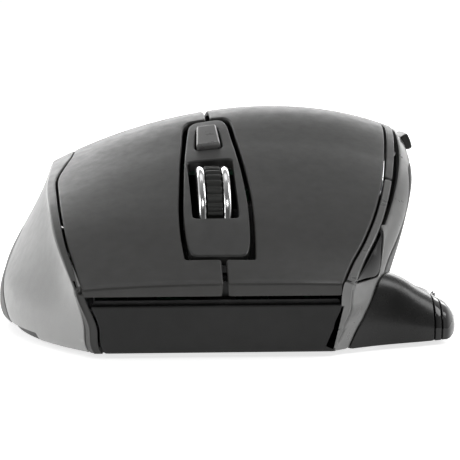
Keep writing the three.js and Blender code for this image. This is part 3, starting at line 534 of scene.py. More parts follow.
def mixed(tree, factor, a, b):
    """A blend of two colours by a factor; the first may be another node's colour."""
    m = tree.nodes.new("ShaderNodeMix")
    m.data_type = "RGBA"
    tree.links.new(factor, m.inputs[0])
    if isinstance(a, tuple):
        m.inputs[6].default_value = (*a, 1)
    else:
        tree.links.new(a, m.inputs[6])
    m.inputs[7].default_value = (*b, 1)
    return m.outputs[2]


def multiplied(tree, a, b):
    m = add_node(tree, "Math", [(0, a), (1, b)])
    m.operation = "MULTIPLY"
    return m.outputs[0]


def surface(tree, shader, color, rough, height=None, strength=0.0, distance=0.0):
    """The colour and roughness linked to the shader, with a bump from a height where there is one."""
    tree.links.new(color, shader.inputs["Base Color"])
    tree.links.new(rough, shader.inputs["Roughness"])
    if height is None:
        return None
    bump = add_node(tree, "Bump", [("Height", height)], Strength=strength, Distance=distance)
    tree.links.new(bump.outputs["Normal"], shader.inputs["Normal"])
    return bump


def moulded(name, color, rough, grain=0.12, grain_scale=3800.0, vary=0.12, metallic=0.0, coat=0.0,
            specular=0.5, wear=0.5, round_edges=0.0, sparkle=0.0):
    """Moulded or painted plastic: fine spark-eroded grain, slow variation in tone and roughness,
    and edges that hands have polished a little."""
    tree, shader, coords = nodes_of(name)
    slow = noise(tree, coords, 55.0, 4.0)
    mid = noise(tree, coords, 420.0, 5.0, 0.6)
    fine = noise(tree, coords, grain_scale, 3.0, 0.65)
    tone = add_node(tree, "Math", [(0, fine), (2, slow)])
    tone.operation = "MULTIPLY_ADD"
    tone.inputs[1].default_value = 0.35 + sparkle
    lighter = tuple(min(c * (1 + vary) + 0.002, 1) for c in color)
    darker = tuple(c * (1 - vary) for c in color)
    shade = mixed(tree, spread(tree, tone.outputs[0], 0, 1, 0.45, 0.9), darker, lighter)
    edges = add_node(tree, "NewGeometry").outputs["Pointiness"]
    bright = tuple(min(c * 1.35 + 0.01, 1) for c in color)
    polished = mixed(tree, spread(tree, edges, 0, wear, 0.53, 0.6), shade, bright)
    matt = spread(tree, mid, max(rough - 0.05, 0.02), min(rough + 0.06, 1))
    bump = surface(tree, shader, polished, matt, fine, grain, 0.00006)
    shader.inputs["Metallic"].default_value = metallic
    shader.inputs["Coat Weight"].default_value = coat
    shader.inputs["Coat Roughness"].default_value = 0.06
    shader.inputs["Specular IOR Level"].default_value = specular
    if round_edges:
        soft = add_node(tree, "Bevel", Radius=round_edges)
        soft.samples = 6
        tree.links.new(soft.outputs["Normal"], bump.inputs["Normal"])


def circuit(name):
    """Green solder mask with copper runs faintly showing through."""
    tree, shader, coords = nodes_of(name)
    cells = add_node(tree, "TexVoronoi", [("Vector", coords)], Scale=260.0)
    cells.feature = "DISTANCE_TO_EDGE"
    lines = spread(tree, cells.outputs["Distance"], 1, 0, 0.02, 0.05)
    surface(tree, shader, mixed(tree, lines, (0.006, 0.07, 0.03), (0.02, 0.16, 0.07)),
            spread(tree, noise(tree, coords, 900.0), 0.3, 0.5), lines, 0.3, 0.00005)


def metal(name, color, rough, streak=0.08):
    """Polished or plated metal, a little uneven in tone and gloss."""
    tree, shader, coords = nodes_of(name)
    fine = noise(tree, coords, 1600.0, 4.0, 0.6)
    slow = noise(tree, coords, 180.0, 3.0)
    surface(tree, shader, mixed(tree, slow, tuple(c * 0.9 for c in color), color),
            spread(tree, fine, max(rough - streak / 2, 0.02), rough + streak), fine, 0.04, 0.00003)
    shader.inputs["Metallic"].default_value = 1.0


def speckled(name):
    """The ball: dark polished resin with fine pale specks just under its surface."""
    tree, shader, coords = nodes_of(name)
    cells = add_node(tree, "TexVoronoi", [("Vector", coords)], Scale=1500.0)
    specks = spread(tree, cells.outputs["Distance"], 1, 0, 0.16, 0.24)
    here = spread(tree, noise(tree, coords, 900.0, 2.0), 0, 1, 0.5, 0.62)
    resin = mixed(tree, multiplied(tree, specks, here), (0.018, 0.022, 0.034), (0.32, 0.34, 0.38))
    surface(tree, shader, resin, spread(tree, noise(tree, coords, 240.0, 5.0), 0.07, 0.14))
    shader.inputs["Coat Weight"].default_value = 0.6
    shader.inputs["Coat Roughness"].default_value = 0.04


moulded("key_plastic", (0.027, 0.0265, 0.025), 0.42, grain=0.2, specular=0.5, vary=0.07)
moulded("palm_plastic", (0.030, 0.0295, 0.028), 0.4, grain=0.16, vary=0.07)
moulded("bezel_plastic", (0.026, 0.026, 0.025), 0.38, grain=0.14)
moulded("satin_silver", (0.25, 0.25, 0.247), 0.34, grain=0.1, metallic=0.5, sparkle=0.5, vary=0.1)
# A darker copy of satin_silver: painted shade for the thumb side's flank.
moulded("shaded_satin_silver", (0.15, 0.15, 0.148), 0.32, grain=0.1, metallic=0.5, sparkle=0.5, vary=0.1)
moulded("grip_rubber", (0.13, 0.13, 0.128), 0.6, grain=0.55, grain_scale=2300.0)
moulded("piano_black", (0.004, 0.004, 0.004), 0.07, grain=0.01, coat=0.1, specular=0.3, vary=0.05)
moulded("dark_plastic", (0.009, 0.009, 0.0087), 0.36, grain=0.12, specular=0.32, round_edges=0.00015)
moulded("wing_plastic", (0.006, 0.006, 0.0057), 0.25, grain=0.08, specular=0.28)
# Light grey: the DPI key's own silver, and on the trim strip a painted reflection on gloss black.
moulded("silver_and_trim_reflection", (0.13, 0.13, 0.128), 0.3, grain=0.06, metallic=0.3)
metal("chrome", (0.9, 0.9, 0.9), 0.13, 0.05)
moulded("wheel_rubber", (0.014, 0.015, 0.013), 0.5, grain=0.3, grain_scale=2600.0)
speckled("ball_gloss")
moulded("ceramic", (0.82, 0.8, 0.76), 0.18, grain=0.02, vary=0.04)
moulded("frame_plastic", (0.018, 0.018, 0.018), 0.5, grain=0.3, grain_scale=2600.0, round_edges=0.0002)
circuit("circuit_board")
moulded("switch_black", (0.008, 0.008, 0.008), 0.42, grain=0.1, round_edges=0.00015)
metal("spring_steel", (0.58, 0.58, 0.57), 0.26, 0.12)
moulded("cell_wrap", (0.03, 0.14, 0.28), 0.24, grain=0.03, coat=0.3)
moulded("foot_pad", (0.012, 0.012, 0.013), 0.3, grain=0.05)
moulded("clear_plastic", (0.7, 0.74, 0.76), 0.08, grain=0.02)

slot_of = {s["node"]: s["material_slot"] for s in frame["record"]["subparts"]}
for node, obj in frame["nodes"].items():
    obj.data.materials.clear()
    obj.data.materials.append(MAT[slot_of[node]])


def settle(obj, body, nodes):
    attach(obj, body)
    if nodes:
        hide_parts(*nodes)


# ---- the covers
TOP, LEFT, RIGHT = 70.0, 16.0, 13.0
top_skin = body_skin(TOP, *TOP_RUN)
left_skin = body_skin(LEFT, *LEFT_RUN)
right_skin = body_skin(RIGHT, *RIGHT_RUN)
T_LEFT, T_RIGHT = TOP_RUN[0] * TOP, TOP_RUN[1] * TOP


def on_top(xy):
    x, y = np.asarray(xy, float).T
    return pairs(top_t(x, y) * TOP, q_of(y))


def on_left(yz):
    y, z = np.asarray(yz, float).T
    return pairs(left_t(z, y) * LEFT, q_of(y))


def on_right(yz):
    y, z = np.asarray(yz, float).T
    return pairs(right_t(z, y) * RIGHT, q_of(y))


def crease(side, y0, y1, drop=0.35, n=120):
    """Points (y, z) just below the crease of the left or right shoulder."""
    y = np.linspace(y0, y1, n)
    return pairs(y, outline_at(y)["shoulder%sZ" % side] - drop)


def cover(name, node, skin, loops, look, slot=None, body="shell", **shape):
    """A panel that stands for a CAD node, or for none; look is a name in MAT. slot, the CAD node's own
    material slot where it differs from look, is not used.
    """
    settle(panel(name, skin, loops, MAT[look], **shape), body, [node] if node else [])


SEAM = 0.4
FOOT_Z, HEM_Z, HEM_Y = 0.95, 2.35, -42.3
BUTTON_REAR = 24
FINGER_SEAM = [(-32.1, FRONT_Y), (-33.4, -53), (-34.8, -45), (-35.8, -34), (-36.3, -22), (-36.3, -12),
               (-34.6, -4), (-33.2, 2), (-32.4, 12), (-31.2, BUTTON_REAR)]
THUMB_SEAM = [(18.6, FRONT_Y), (21.3, -53), (24.8, -45), (28.0, -36), (30.6, -26), (32.7, -14), (34.1, -3),
              (34.6, 5), (34.0, 11.2), (30.6, 15.6), (26.6, 18.4), (24.9, 21), (24.6, BUTTON_REAR)]


def beside(points, gap):
    """The curve moved along X by gap."""
    return catmull(points) + np.array([gap, 0.0])


def key_walls(at):
    """The keys' outer edges are deeper than their edges beside the wheel."""
    return np.where(np.abs(at[:, 0] - SPINE_X) > 12, 2.2, 1.0)


def front_walls(depth_of):
    """Edge points on the front plane get walls that face forward, as deep as depth_of says."""
    def walls(at):
        return at[:, 1] < FRONT_Y + 0.25, np.array([0.0, -1.0, 0.0]), depth_of(at)

    return walls


KEY = {"radius": 0.5, "depth": 1.0, "rim_depth": key_walls,
       "walls": front_walls(lambda at: np.maximum(at[:, 2] - LIP_Z, 0.6))}
NOTCH_Y = -53.9
left_button_line = joined(
    line((-3.7, FRONT_Y), (18.6, FRONT_Y)), catmull(THUMB_SEAM),
    path((24.6, BUTTON_REAR), (-3.4, BUTTON_REAR), (-3.5, -0.3)),
    catmull([(-0.7, -0.3), (0.4, -2.4), (1.3, -12), (2.1, -22), (2.7, -33), (2.8, -40), (2.6, -47),
             (2.2, NOTCH_Y)]),
    line((2.2, NOTCH_Y), (-3.65, NOTCH_Y)))
cover("left_click_key", "left_click_button", top_skin, [on_top(left_button_line)], "key_plastic",
      body="left_click", **KEY)
right_button_line = joined(
    path((-32.1, FRONT_Y), (-4.6, FRONT_Y), (-4.55, NOTCH_Y), (-11.7, NOTCH_Y)),
    catmull([(-11.7, NOTCH_Y), (-12.2, -47), (-12.2, -40), (-11.8, -33), (-11.1, -22), (-10.2, -12),
             (-9.3, -2.8), (-8.2, -0.4)]),
    path((-8.2, -0.3), (-4.4, -0.3), (-4.3, BUTTON_REAR), (-31.2, BUTTON_REAR)),
    catmull(FINGER_SEAM)[::-1])
cover("right_click_key", "right_click_button", top_skin, [on_top(right_button_line)], "key_plastic",
      body="right_click", **KEY)

# The centre bezel, with the wheel's slot and the DPI button's opening.
bezel_line = joined(
    line((-9.6, -53), (0.0, -53)),
    catmull([(0.9, -52.4), (1.5, -49), (1.9, -40), (1.8, -33), (1.2, -22), (0.4, -12), (-0.5, -3.2),
             (-1.6, -1.2)]),
    line((-1.6, -1.2), (-7.2, -1.4)),
    catmull([(-8.3, -3.2), (-9.3, -12), (-10.2, -22), (-10.9, -33), (-11.3, -40), (-11.1, -49),
             (-10.6, -52.4)]))
wheel_slot = polygon((-9.5, -42), (-0.1, -42), (-0.1, -20.4), (-9.5, -20.4))
dpi_slot = polygon((-7.6, -15.6), (-1.7, -15.6), (-2.1, -5.4), (-6.9, -5.4))
cover("bezel", "center_bezel", top_skin, [on_top(bezel_line), on_top(wheel_slot), on_top(dpi_slot)],
      "bezel_plastic", radius=0.4, depth=2.2, spacing=0.8, edge=0.4, corner=1.5)
dpi_line = polygon((-7.2, -15.2), (-2.1, -15.2), (-2.5, -5.8), (-6.6, -5.8))
cover("dpi_key", "dpi_button", body_skin(TOP, *TOP_RUN, lift=1.05), [on_top(dpi_line)], "silver_and_trim_reflection",
      "satin_silver", body="dpi_key", radius=0.55, depth=1.9, spacing=0.6, edge=0.3, corner=0.6)


def rear_edge(n=90):
    """Where the top skin meets the base at the rear, from the thumb side's crease to the finger side's."""
    t = np.linspace(TOP_RUN[1], TOP_RUN[0], n)
    y = bisect(lambda y: SKIRT_Z - body_point(t, y)[..., 2], np.full(n, 40.0), np.full(n, 61.97))
    return pairs(t * TOP, q_of(y))


# The palm cover is one sheet behind the keys that runs forward as a narrow strip on the finger side;
# the trim goes on from it on the thumb side, in front of TRIM_Y.
rear = rear_edge()
TRIM_Y, TRIM_GAP = -22.5, 0.2
thumb_edge = beside(THUMB_SEAM, SEAM)
thumb_back = thumb_edge[thumb_edge[:, 1] > TRIM_Y + TRIM_GAP]
thumb_front = thumb_edge[thumb_edge[:, 1] < TRIM_Y - TRIM_GAP]
q_back = q_of(TRIM_Y + TRIM_GAP)
palm_loop = joined(
    on_top(beside(FINGER_SEAM, -SEAM)),
    on_top(line((-31.6, 24.4), (25.0, 24.4))),
    on_top(thumb_back[::-1]),
    pairs(np.linspace(on_top(thumb_back[:1])[0, 0], T_RIGHT, 6), q_back),
    pairs(T_RIGHT, np.linspace(q_back, rear[0, 1], 120)),
    rear,
    pairs(T_LEFT, np.linspace(rear[-1, 1], FRONT_Y, 160)))
cover("palm_shell", "palm_cover", top_skin, [palm_loop], "palm_plastic", radius=0.35, spacing=1.2)
trim_loop = joined(
    on_top(thumb_front),
    pairs(np.linspace(on_top(thumb_front[-1:])[0, 0], T_RIGHT, 6), TRIM_Y - TRIM_GAP),
    pairs(T_RIGHT, np.linspace(TRIM_Y - TRIM_GAP, FRONT_Y, 80)))
# The trim strip's light grey is a painted reflection of the lights on the gloss-black trim.
cover("trim_strip", "gloss_trim", top_skin, [trim_loop], "silver_and_trim_reflection", "piano_black", radius=0.45,
      spacing=0.8)


# ---- the flanks
GRIP_SEAM = [(-26.9, HEM_Z), (-21.5, 6), (-14.5, 9.5), (-6, 14), (6, 17.5), (24, 18.5), (44, 15), (58, 9)]
THUMB_LINE = [(-57.4, FOOT_Z), (-53, 7), (-50, 11.2), (-46, 15.3), (-36, 20.4), (-28, 24.3), (-18, 30),
              (-12, 32.6), (0, 33.8), (16, 32.6), (32, 27.5), (46, 18.5), (53, 10.5), (54.4, HEM_Z)]
PORT_Z, PORT_R = 19.75, 15.3

grip_gap = [(y - (0.35 if y < 0 else 0), z + 0.4) for y, z in GRIP_SEAM[:-1]] + [(57.4, 9.7)]
finger_panel_loop = joined(
    crease("Left", -59.3, 57.4), catmull(grip_gap)[::-1],
    path((-27.4, 2.4), (HEM_Y, 2.4), (HEM_Y, FOOT_Z), (-59.3, FOOT_Z), (-59.3, 14.2)))
cover("finger_side_cover", "finger_side_panel", left_skin, [on_left(finger_panel_loop)], "satin_silver",
      radius=0.3, spacing=1.0)
finger_grip_loop = joined(catmull(GRIP_SEAM), crease("Left", 58.9, 61.3, n=20),
                          line((61.3, 2.4), (-26.9, HEM_Z)))
cover("finger_side_grip", "finger_grip", left_skin, [on_left(finger_grip_loop)], "grip_rubber", radius=0.35,
      spacing=1.0)
corner_loop = polygon((FRONT_Y, FOOT_Z), (FRONT_Y, 12.9), (-59.7, 13.5), (-59.7, FOOT_Z))
cover("front_corner_return", None, left_skin, [on_left(corner_loop)], "palm_plastic", radius=0.25,
      spacing=0.6, depth=0.6, edge=0.3, corner=0.25, walls=front_walls(lambda at: 0.35))

side_low = spline([1, 9, 16, 23, 30], [35.6, 35.3, 34.6, 33.2, 31.6])
side_high = spline([1, 9, 16, 23, 30], [38.3, 38.5, 38.1, 36.9, 35.2])


def side_key_line(y0, y1, grow):
    """A side key's outline (y, z), or its slot's where grow is more than nothing."""
    y = np.linspace(y0 - grow, y1 + grow, 50)
    return joined(pairs(y, side_high(y) + grow), pairs(y, side_low(y) - grow)[::-1])


def port_arc(y, radius):
    return PORT_Z + np.sqrt(np.maximum(radius ** 2 - (y - BALL[1]) ** 2, 0))


seam_fine = catmull(THUMB_LINE)
panel_seam = seam_fine + np.where(seam_fine[:, :1] <= 16, [[-0.3, 0.3]], [[0.3, 0.3]])
seam_y, seam_z = panel_seam.T
over_port = np.maximum(seam_z, port_arc(seam_y, PORT_R))
panel_seam[:, 1] = np.where(np.abs(seam_y - BALL[1]) < PORT_R, over_port, seam_z)
thumb_panel_loop = joined(
    line((FRONT_Y, FOOT_Z), (-57.9, FOOT_Z)), panel_seam, line((54.8, HEM_Z), (61.2, HEM_Z)),
    crease("Right", 61.2, -39.3, n=220),
    path((-39.3, 24.0), (-45.8, 18.7), (-50.4, 14.3), (FRONT_Y, 13.9), (FRONT_Y, FOOT_Z)))
# The thumb side's panel wears the darker copy of its satin silver, painted shade on this flank.
cover("thumb_side_cover", "thumb_side_panel", right_skin,
      [on_right(thumb_panel_loop), on_right(side_key_line(1.2, 30.1, 0.5))], "shaded_satin_silver", "satin_silver",
      radius=0.3, spacing=1.0, walls=front_walls(lambda at: 1.9))

arc_y = np.linspace(BALL[1] + PORT_R - 0.05, BALL[1] - PORT_R + 0.05, 90)
low_turn = np.linspace(0, -math.pi, 70)
below = pairs(BALL[1] + PORT_R * np.cos(low_turn), PORT_Z + PORT_R * np.sin(low_turn))
upper = np.array([[y, port_arc(y, PORT_R)] for y in arc_y])
seam_at = np.interp(upper[:, 0], seam_fine[:, 0], seam_fine[:, 1])
rear_arc = upper[(upper[:, 0] > BALL[1]) & (upper[:, 1] < seam_at - 0.2)]
front_arc = upper[(upper[:, 0] < BALL[1]) & (upper[:, 1] < seam_at - 0.2)]
seam_rear = seam_fine[seam_fine[:, 0] > rear_arc[-1, 0] + 0.3]
seam_front = seam_fine[seam_fine[:, 0] < front_arc[0, 0] - 0.3]
thumb_grip_loop = joined(
    path((-57.2, FOOT_Z), (HEM_Y, FOOT_Z), (HEM_Y, HEM_Z), (54.2, HEM_Z)),
    seam_rear[::-1], rear_arc[::-1], below, front_arc[::-1], seam_front[::-1])
cover("thumb_side_grip", "thumb_grip", right_skin, [on_right(thumb_grip_loop)], "grip_rubber", radius=0.3,
      spacing=1.0)

trim_corner_loop = joined(crease("Right", -60.3, -41.3, n=60), line((-41.3, 22.6), (-46, 19.0)),
                          catmull([(-46, 19.0), (-50.6, 14.75), (-55, 14.5), (-60.3, 14.3)]))
cover("trim_corner", None, right_skin, [on_right(trim_corner_loop)], "piano_black", radius=0.25,
      spacing=0.7, edge=0.35, corner=0.35)

button_skin = body_skin(RIGHT, *RIGHT_RUN, lift=1.6)
for piece, node, body, y0, y1 in (("forward_side_key", "forward_button", "forward_key", 1.2, 15.1),
                                  ("back_side_key", "back_button", "back_key", 15.6, 29.2)):
    cover(piece, node, button_skin, [on_right(side_key_line(y0, y1, 0))], "dark_plastic", body=body,
          radius=0.75, depth=3.0, spacing=0.5, edge=0.3, corner=0.7)


# ---- the front
def front_skin(p, q):
    p, q = level(p, q)
    return np.stack([p, np.full_like(p, FRONT_Y), q], -1)


def left_edge_x(z):
    return body_point(left_t(z, FRONT_Y), FRONT_Y)[..., 0]


FACE_INSET, FACE_RIGHT = 1.9, (17.1, FOOT_Z)
edge_z = np.linspace(FOOT_Z, 10.2, 30)
edge_x = left_edge_x(edge_z) + FACE_INSET
front_loop = joined(line(FACE_RIGHT, (19.3, 10.2)), pairs(edge_x, edge_z)[::-1],
                    line((edge_x[0], FOOT_Z), FACE_RIGHT))
cover("front_face", "front_panel", front_skin, [front_loop], "dark_plastic", radius=0.35, depth=2.0,
      spacing=1.2, corner=0.35)
strip_z = np.linspace(FOOT_Z, 12.6, 36)
strip_x = left_edge_x(strip_z)
strip_loop = joined(pairs(strip_x + 0.05, strip_z), pairs(strip_x + 1.55, strip_z)[::-1])
cover("front_corner_strip", None, front_skin, [strip_loop], "palm_plastic", radius=0.2, depth=1.6,
      spacing=0.6, edge=0.3, corner=0.2)


def rebate_skin(p, q):
    """A plane set back behind the front, seen in the gap between the keys' lip and the front panel."""
    return front_skin(p, q) + np.array([0.0, 2.15, 0.0])


rebate_loop = polygon((-30.0, 8.0), (18.4, 8.0), (18.4, 11.1), (-30.0, 11.1))
cover("front_rebate", None, rebate_skin, [rebate_loop], "frame_plastic", radius=0.1, depth=0.5, spacing=2.0)


# ---- the thumb wing
WING_X = [20.5, 24, 28, 33, 35.7, 38, 40.4, 42.5, 43.7, 44.3]
wing_front = spline(WING_X, [-58.2, -55.8, -53.4, -51.0, -49.8, -48.6, -47.2, -45.2, -42.6, -39.5])
wing_rear = spline(WING_X, [44, 41, 37, 30, 24.5, 18.5, 11.5, 4, -3, -9])
wing_ridge = spline(WING_X, [17.0, 16.4, 15.2, 13.0, 11.2, 9.9, 8.5, 7.3, 6.6, 6.2])
WING_STEP = 7.0
WING_SPANS = 12
Q_END = WING_SPANS * WING_STEP
TIP_X, TIP_REACH, TIP_Z = 41.3, 3.0, 4.4


def wing_skin(p, q):
    """The wing's skin: p is X, q runs over its section from the front foot to the rear foot."""
    p, q = level(p, q)
    shape = p.shape
    x, s = p.ravel(), np.clip(q.ravel() / WING_STEP, 0, WING_SPANS)
    front, back, ridge = wing_front(x), wing_rear(x), wing_ridge(x)
    rise = [BOTTOM + share * (ridge - BOTTOM) for share in (0.3, 0.62, 0.88)]
    floor = np.minimum(np.maximum(5.9, BOTTOM + 1.2), ridge)
    dip = ridge - floor
    mid = [-6 + share * (back + 6) for share in (0.45, 0.8)]
    ys = [front + 0.4, front, front + 0.9, front + 3, front + 7, front + 16, np.full_like(x, -16.0),
          np.full_like(x, -6.0), mid[0], mid[1], back - 1, back, back - 0.2]
    zs = [np.full_like(x, BOTTOM), rise[0], rise[1], rise[2], ridge, ridge - 0.35 * dip, ridge - 0.85 * dip,
          floor, floor, floor - 0.15 * (floor - BOTTOM), BOTTOM + 0.5 * (floor - BOTTOM),
          np.full_like(x, BOTTOM + 0.4), np.full_like(x, BOTTOM)]
    pts = np.stack([np.stack(ys, -1), np.stack(zs, -1)], -1)
    pts = np.concatenate([2 * pts[:, :1] - pts[:, 1:2], pts, 2 * pts[:, -1:] - pts[:, -2:-1]], axis=1)
    i = np.clip(np.floor(s).astype(int), 0, WING_SPANS - 1)
    near_four = [pts[np.arange(len(x)), i + k] for k in range(4)]
    gaps = [np.maximum(np.linalg.norm(b - a, axis=1, keepdims=True), 1e-6) ** 0.5
            for a, b in zip(near_four, near_four[1:])]
    yz = through(*near_four, gaps, (s - i)[:, None])
    u = np.clip((x - TIP_X) / TIP_REACH, 0, 0.995)
    shrink = np.sqrt(1 - u * u)
    z = TIP_Z + (yz[:, 1] - TIP_Z) * shrink
    y = -18 + (yz[:, 0] + 18) * (1 - 0.12 * (1 - shrink))
    return np.stack([x, y, np.maximum(z, BOTTOM)], -1).reshape(*shape, 3)


def wing_inner(q):
    """X where the wing's skin leaves the body or the ball's ring."""
    def gap(x):
        at = wing_skin(x, q)
        y = np.clip(at[..., 1], FRONT_Y, REAR_Y - 1)
        body_x = body_point(right_t(np.maximum(at[..., 2], BOTTOM + 0.05), y), y)[..., 0] + 0.35
        ring = (at[..., 1] - BALL[1]) ** 2 + (at[..., 2] - 19.4) ** 2 < 15.5 ** 2
        return x - np.where(ring, np.maximum(body_x, 33.4), body_x)

    return bisect(gap, np.full(np.shape(q), 20.5), np.full(np.shape(q), 38.0), 26)


def wing_q(x, y):
    x, y = level(x, y)
    first, last = np.full(x.shape, 1.2 * WING_STEP), np.full(x.shape, 10.5 * WING_STEP)
    return bisect(lambda q: wing_skin(x, q)[..., 1] - y, first, last, 26)


def on_wing(xy):
    x, y = np.asarray(xy, float).T
    return pairs(x, wing_q(x, y))


def wing_strip(x0, x1):
    """A strip of the wing's skin between two X, over the whole section."""
    q = np.linspace(0, Q_END, 240)
    return joined(pairs(x0, q), line((x0, Q_END), (x1, Q_END), 0.3), pairs(x1, q[::-1]),
                  line((x1, 0), (x0, 0), 0.3))


def pad_outline(grow):
    """The pad's open outline on the wing, from its front inner end round to its rear inner end."""
    return catmull([(24.5, -33 - grow), (30, -33 - grow), (34.9 + grow, -32.6 - grow), (36.6 + grow, -28),
                    (37.5 + grow, -20), (37.7 + grow, -8), (37.4 + grow, 2), (36.2 + grow, 8.6 + grow * 0.7),
                    (34.6, 10.6 + grow), (28, 12 + grow)])


def outside_inner(loop):
    """The part of an outline that lies clear of the body, in the wing's flat drawing."""
    flat = on_wing(loop)
    return flat[flat[:, 0] > wing_inner(flat[:, 1]) + 0.05]


def inner_edge(q0, q1, n):
    q = np.linspace(q0, q1, n)
    return pairs(wing_inner(q), q)


pad_edge = outside_inner(pad_outline(0.0))
pad_loop = joined(pad_edge, inner_edge(pad_edge[-1, 1], pad_edge[0, 1], 120))
cover("thumb_rest", "thumb_rest_pad", wing_skin, [pad_loop], "grip_rubber", radius=0.3, depth=1.2,
      spacing=1.0)
shell_edge = outside_inner(pad_outline(0.4))
wing_loop = joined(inner_edge(0, shell_edge[0, 1], 110), shell_edge,
                   inner_edge(shell_edge[-1, 1], Q_END, 110), pairs(38.6, np.linspace(Q_END, 0, 240)))
cover("wing", "wing_shell", wing_skin, [wing_loop], "wing_plastic", radius=0.25, depth=1.5, spacing=0.9)
cover("wing_stripe", "wing_band", wing_skin, [wing_strip(38.85, 40.15)], "piano_black", radius=0.18,
      depth=1.5, spacing=0.5, edge=0.4, corner=0.2)
cover("wing_tip", "wing_cap", wing_skin, [wing_strip(40.45, 44.28)], "piano_black", radius=0.18, depth=1.2,
      spacing=0.6, edge=0.4, corner=0.2)


# ---- turned pieces
X_AXIS, Y_AXIS = np.array([1.0, 0.0, 0.0]), np.array([0.0, 1.0, 0.0])


def soft_profile(points, radius, n=4):
    """A closed profile with its corners rounded."""
    out = []
    pts = np.array(points, float)
    for i in range(len(pts)):
        a, b, c = pts[i - 1], pts[i], pts[(i + 1) % len(pts)]
        r = min(radius, 0.45 * np.linalg.norm(a - b), 0.45 * np.linalg.norm(c - b))
        start = b + (a - b) / np.linalg.norm(a - b) * r
        end = b + (c - b) / np.linalg.norm(c - b) * r
        for k in range(n + 1):
            t = k / n
            out.append((1 - t) ** 2 * start + 2 * t * (1 - t) * b + t * t * end)
    return np.array(out)


def turned(name, profile, centre, axis, material, segments=128, ripple=None):
    """A closed ring turned about an axis: profile is (radius, along); ripple may change a radius by angle."""
    axis = np.array(axis, float)
    up = np.cross(axis, Y_AXIS)
    rings = []
    for a in np.arange(segments) / segments * 2 * math.pi:
        radius = profile[:, 0] + (ripple(a, profile) if ripple else 0)
        around = np.outer(radius, Y_AXIS * math.cos(a) + up * math.sin(a))
        rings.append(np.array(centre) + around + np.outer(profile[:, 1], axis))
    m = len(profile)
    verts = np.vstack(rings)
    faces = []
    for i in range(segments):
        j = (i + 1) % segments
        for k in range(m):
            l = (k + 1) % m
            faces.append((i * m + k, i * m + l, j * m + l, j * m + k))
    if np.sum(profile[:, 0] * (np.roll(profile[:, 1], -1) - np.roll(profile[:, 1], 1))) < 0:
        faces = [f[::-1] for f in faces]
    obj = make_mesh(name, verts, faces, None, material)
    obj.data.set_sharp_from_angle(angle=math.radians(38))
    return obj


WHEEL = [-4.8, -28.0, 22.2]
RIM = 12.5
RIBS = 40
SHOULDER = RIM - 0.3
hub = soft_profile([(1.6, -3.4), (11.5, -3.4), (SHOULDER, -3.2), (RIM, -2.5), (SHOULDER, -1.8), (11.5, -1.62),
                    (10.3, -1.62), (10.3, 1.62), (11.5, 1.62), (SHOULDER, 1.8), (RIM, 2.5), (SHOULDER, 3.2),
                    (11.5, 3.4), (1.6, 3.4)], 0.42)
settle(turned("scroll_rims", hub, WHEEL, X_AXIS, MAT["chrome"], 160),
       "scroll_wheel", ["wheel_hub"])


def ribs(angle, profile):
    """How far the tyre's tread dips between its ribs at that angle."""
    wave = 0.5 + 0.5 * math.cos(angle * RIBS)
    tall = wave * wave * (3 - 2 * wave)
    return np.where(profile[:, 0] > 11.3, (tall - 1) * 0.55, 0.0)


TREAD = RIM - 0.12
tyre = soft_profile([(10.6, -1.55), (TREAD, -1.55), (RIM - 0.05, 0.0), (TREAD, 1.55), (10.6, 1.55)], 0.3)
settle(turned("scroll_tread", tyre, WHEEL, X_AXIS, MAT["wheel_rubber"], RIBS * 10, ribs),
       "scroll_wheel", ["wheel_tyre"])

BALL_AXIS = np.array([math.cos(BALL_TILT), 0.0, math.sin(BALL_TILT)])
ring = soft_profile([(13.8, 4.3), (15.0, 4.3), (15.0, 7.2), (14.4, 7.8), (13.3, 7.8), (12.9, 7.2)], 0.4)
settle(turned("ball_collar", ring, BALL, BALL_AXIS, MAT["piano_black"], 144),
       "shell", ["ball_ring"])


def ball_mesh():
    rows, sides = 72, 128
    verts = [BALL + BALL_R * BALL_AXIS]
    up = np.cross(BALL_AXIS, Y_AXIS)
    for r in range(1, rows):
        a = math.pi * r / rows
        for s in range(sides):
            b = 2 * math.pi * s / sides
            around = Y_AXIS * math.cos(b) + up * math.sin(b)
            verts.append(BALL + BALL_R * (BALL_AXIS * math.cos(a) + math.sin(a) * around))
    verts.append(BALL - BALL_R * BALL_AXIS)
    last = len(verts) - 1
    faces = []
    for s in range(sides):
        n = (s + 1) % sides
        faces.append((0, 1 + n, 1 + s))
        faces.append((last, last - sides + s, last - sides + n))
        for r in range(rows - 2):
            a, b = 1 + r * sides, 1 + (r + 1) * sides
            faces.append((a + s, a + n, b + n, b + s))
    return make_mesh("ball", np.array(verts), faces, None, MAT["ball_gloss"])


ball = ball_mesh()
face = ball.data.polygons[5]
if face.normal.dot(face.center - Vector(((BALL + SHIFT) / 1000).tolist())) < 0:
    ball.data.flip_normals()
settle(ball, "ball", ["trackball"])


# ---- the underside
def under_skin(z):
    """A level skin at height z that faces the floor; its drawing is (-X, Y)."""
    def point(p, q):
        p, q = level(p, q)
        return np.stack([-p, q, np.full_like(p, z)], -1)

    return point


def under(name, node, z, loops, look, **shape):
    """A cover that faces the floor at height z, from loops of (X, Y)."""
    flipped = [loop * np.array([-1.0, 1.0]) for loop in loops]
    cover(name, node, under_skin(z), flipped, look, **shape)


def disc(x, y, r, n=36):
    a = np.linspace(0, 2 * math.pi, n, endpoint=False)
    return pairs(x + r * np.cos(a), y + r * np.sin(a))


def slab(x0, x1, y0, y1):
    return polygon((x0, y0), (x1, y0), (x1, y1), (x0, y1))


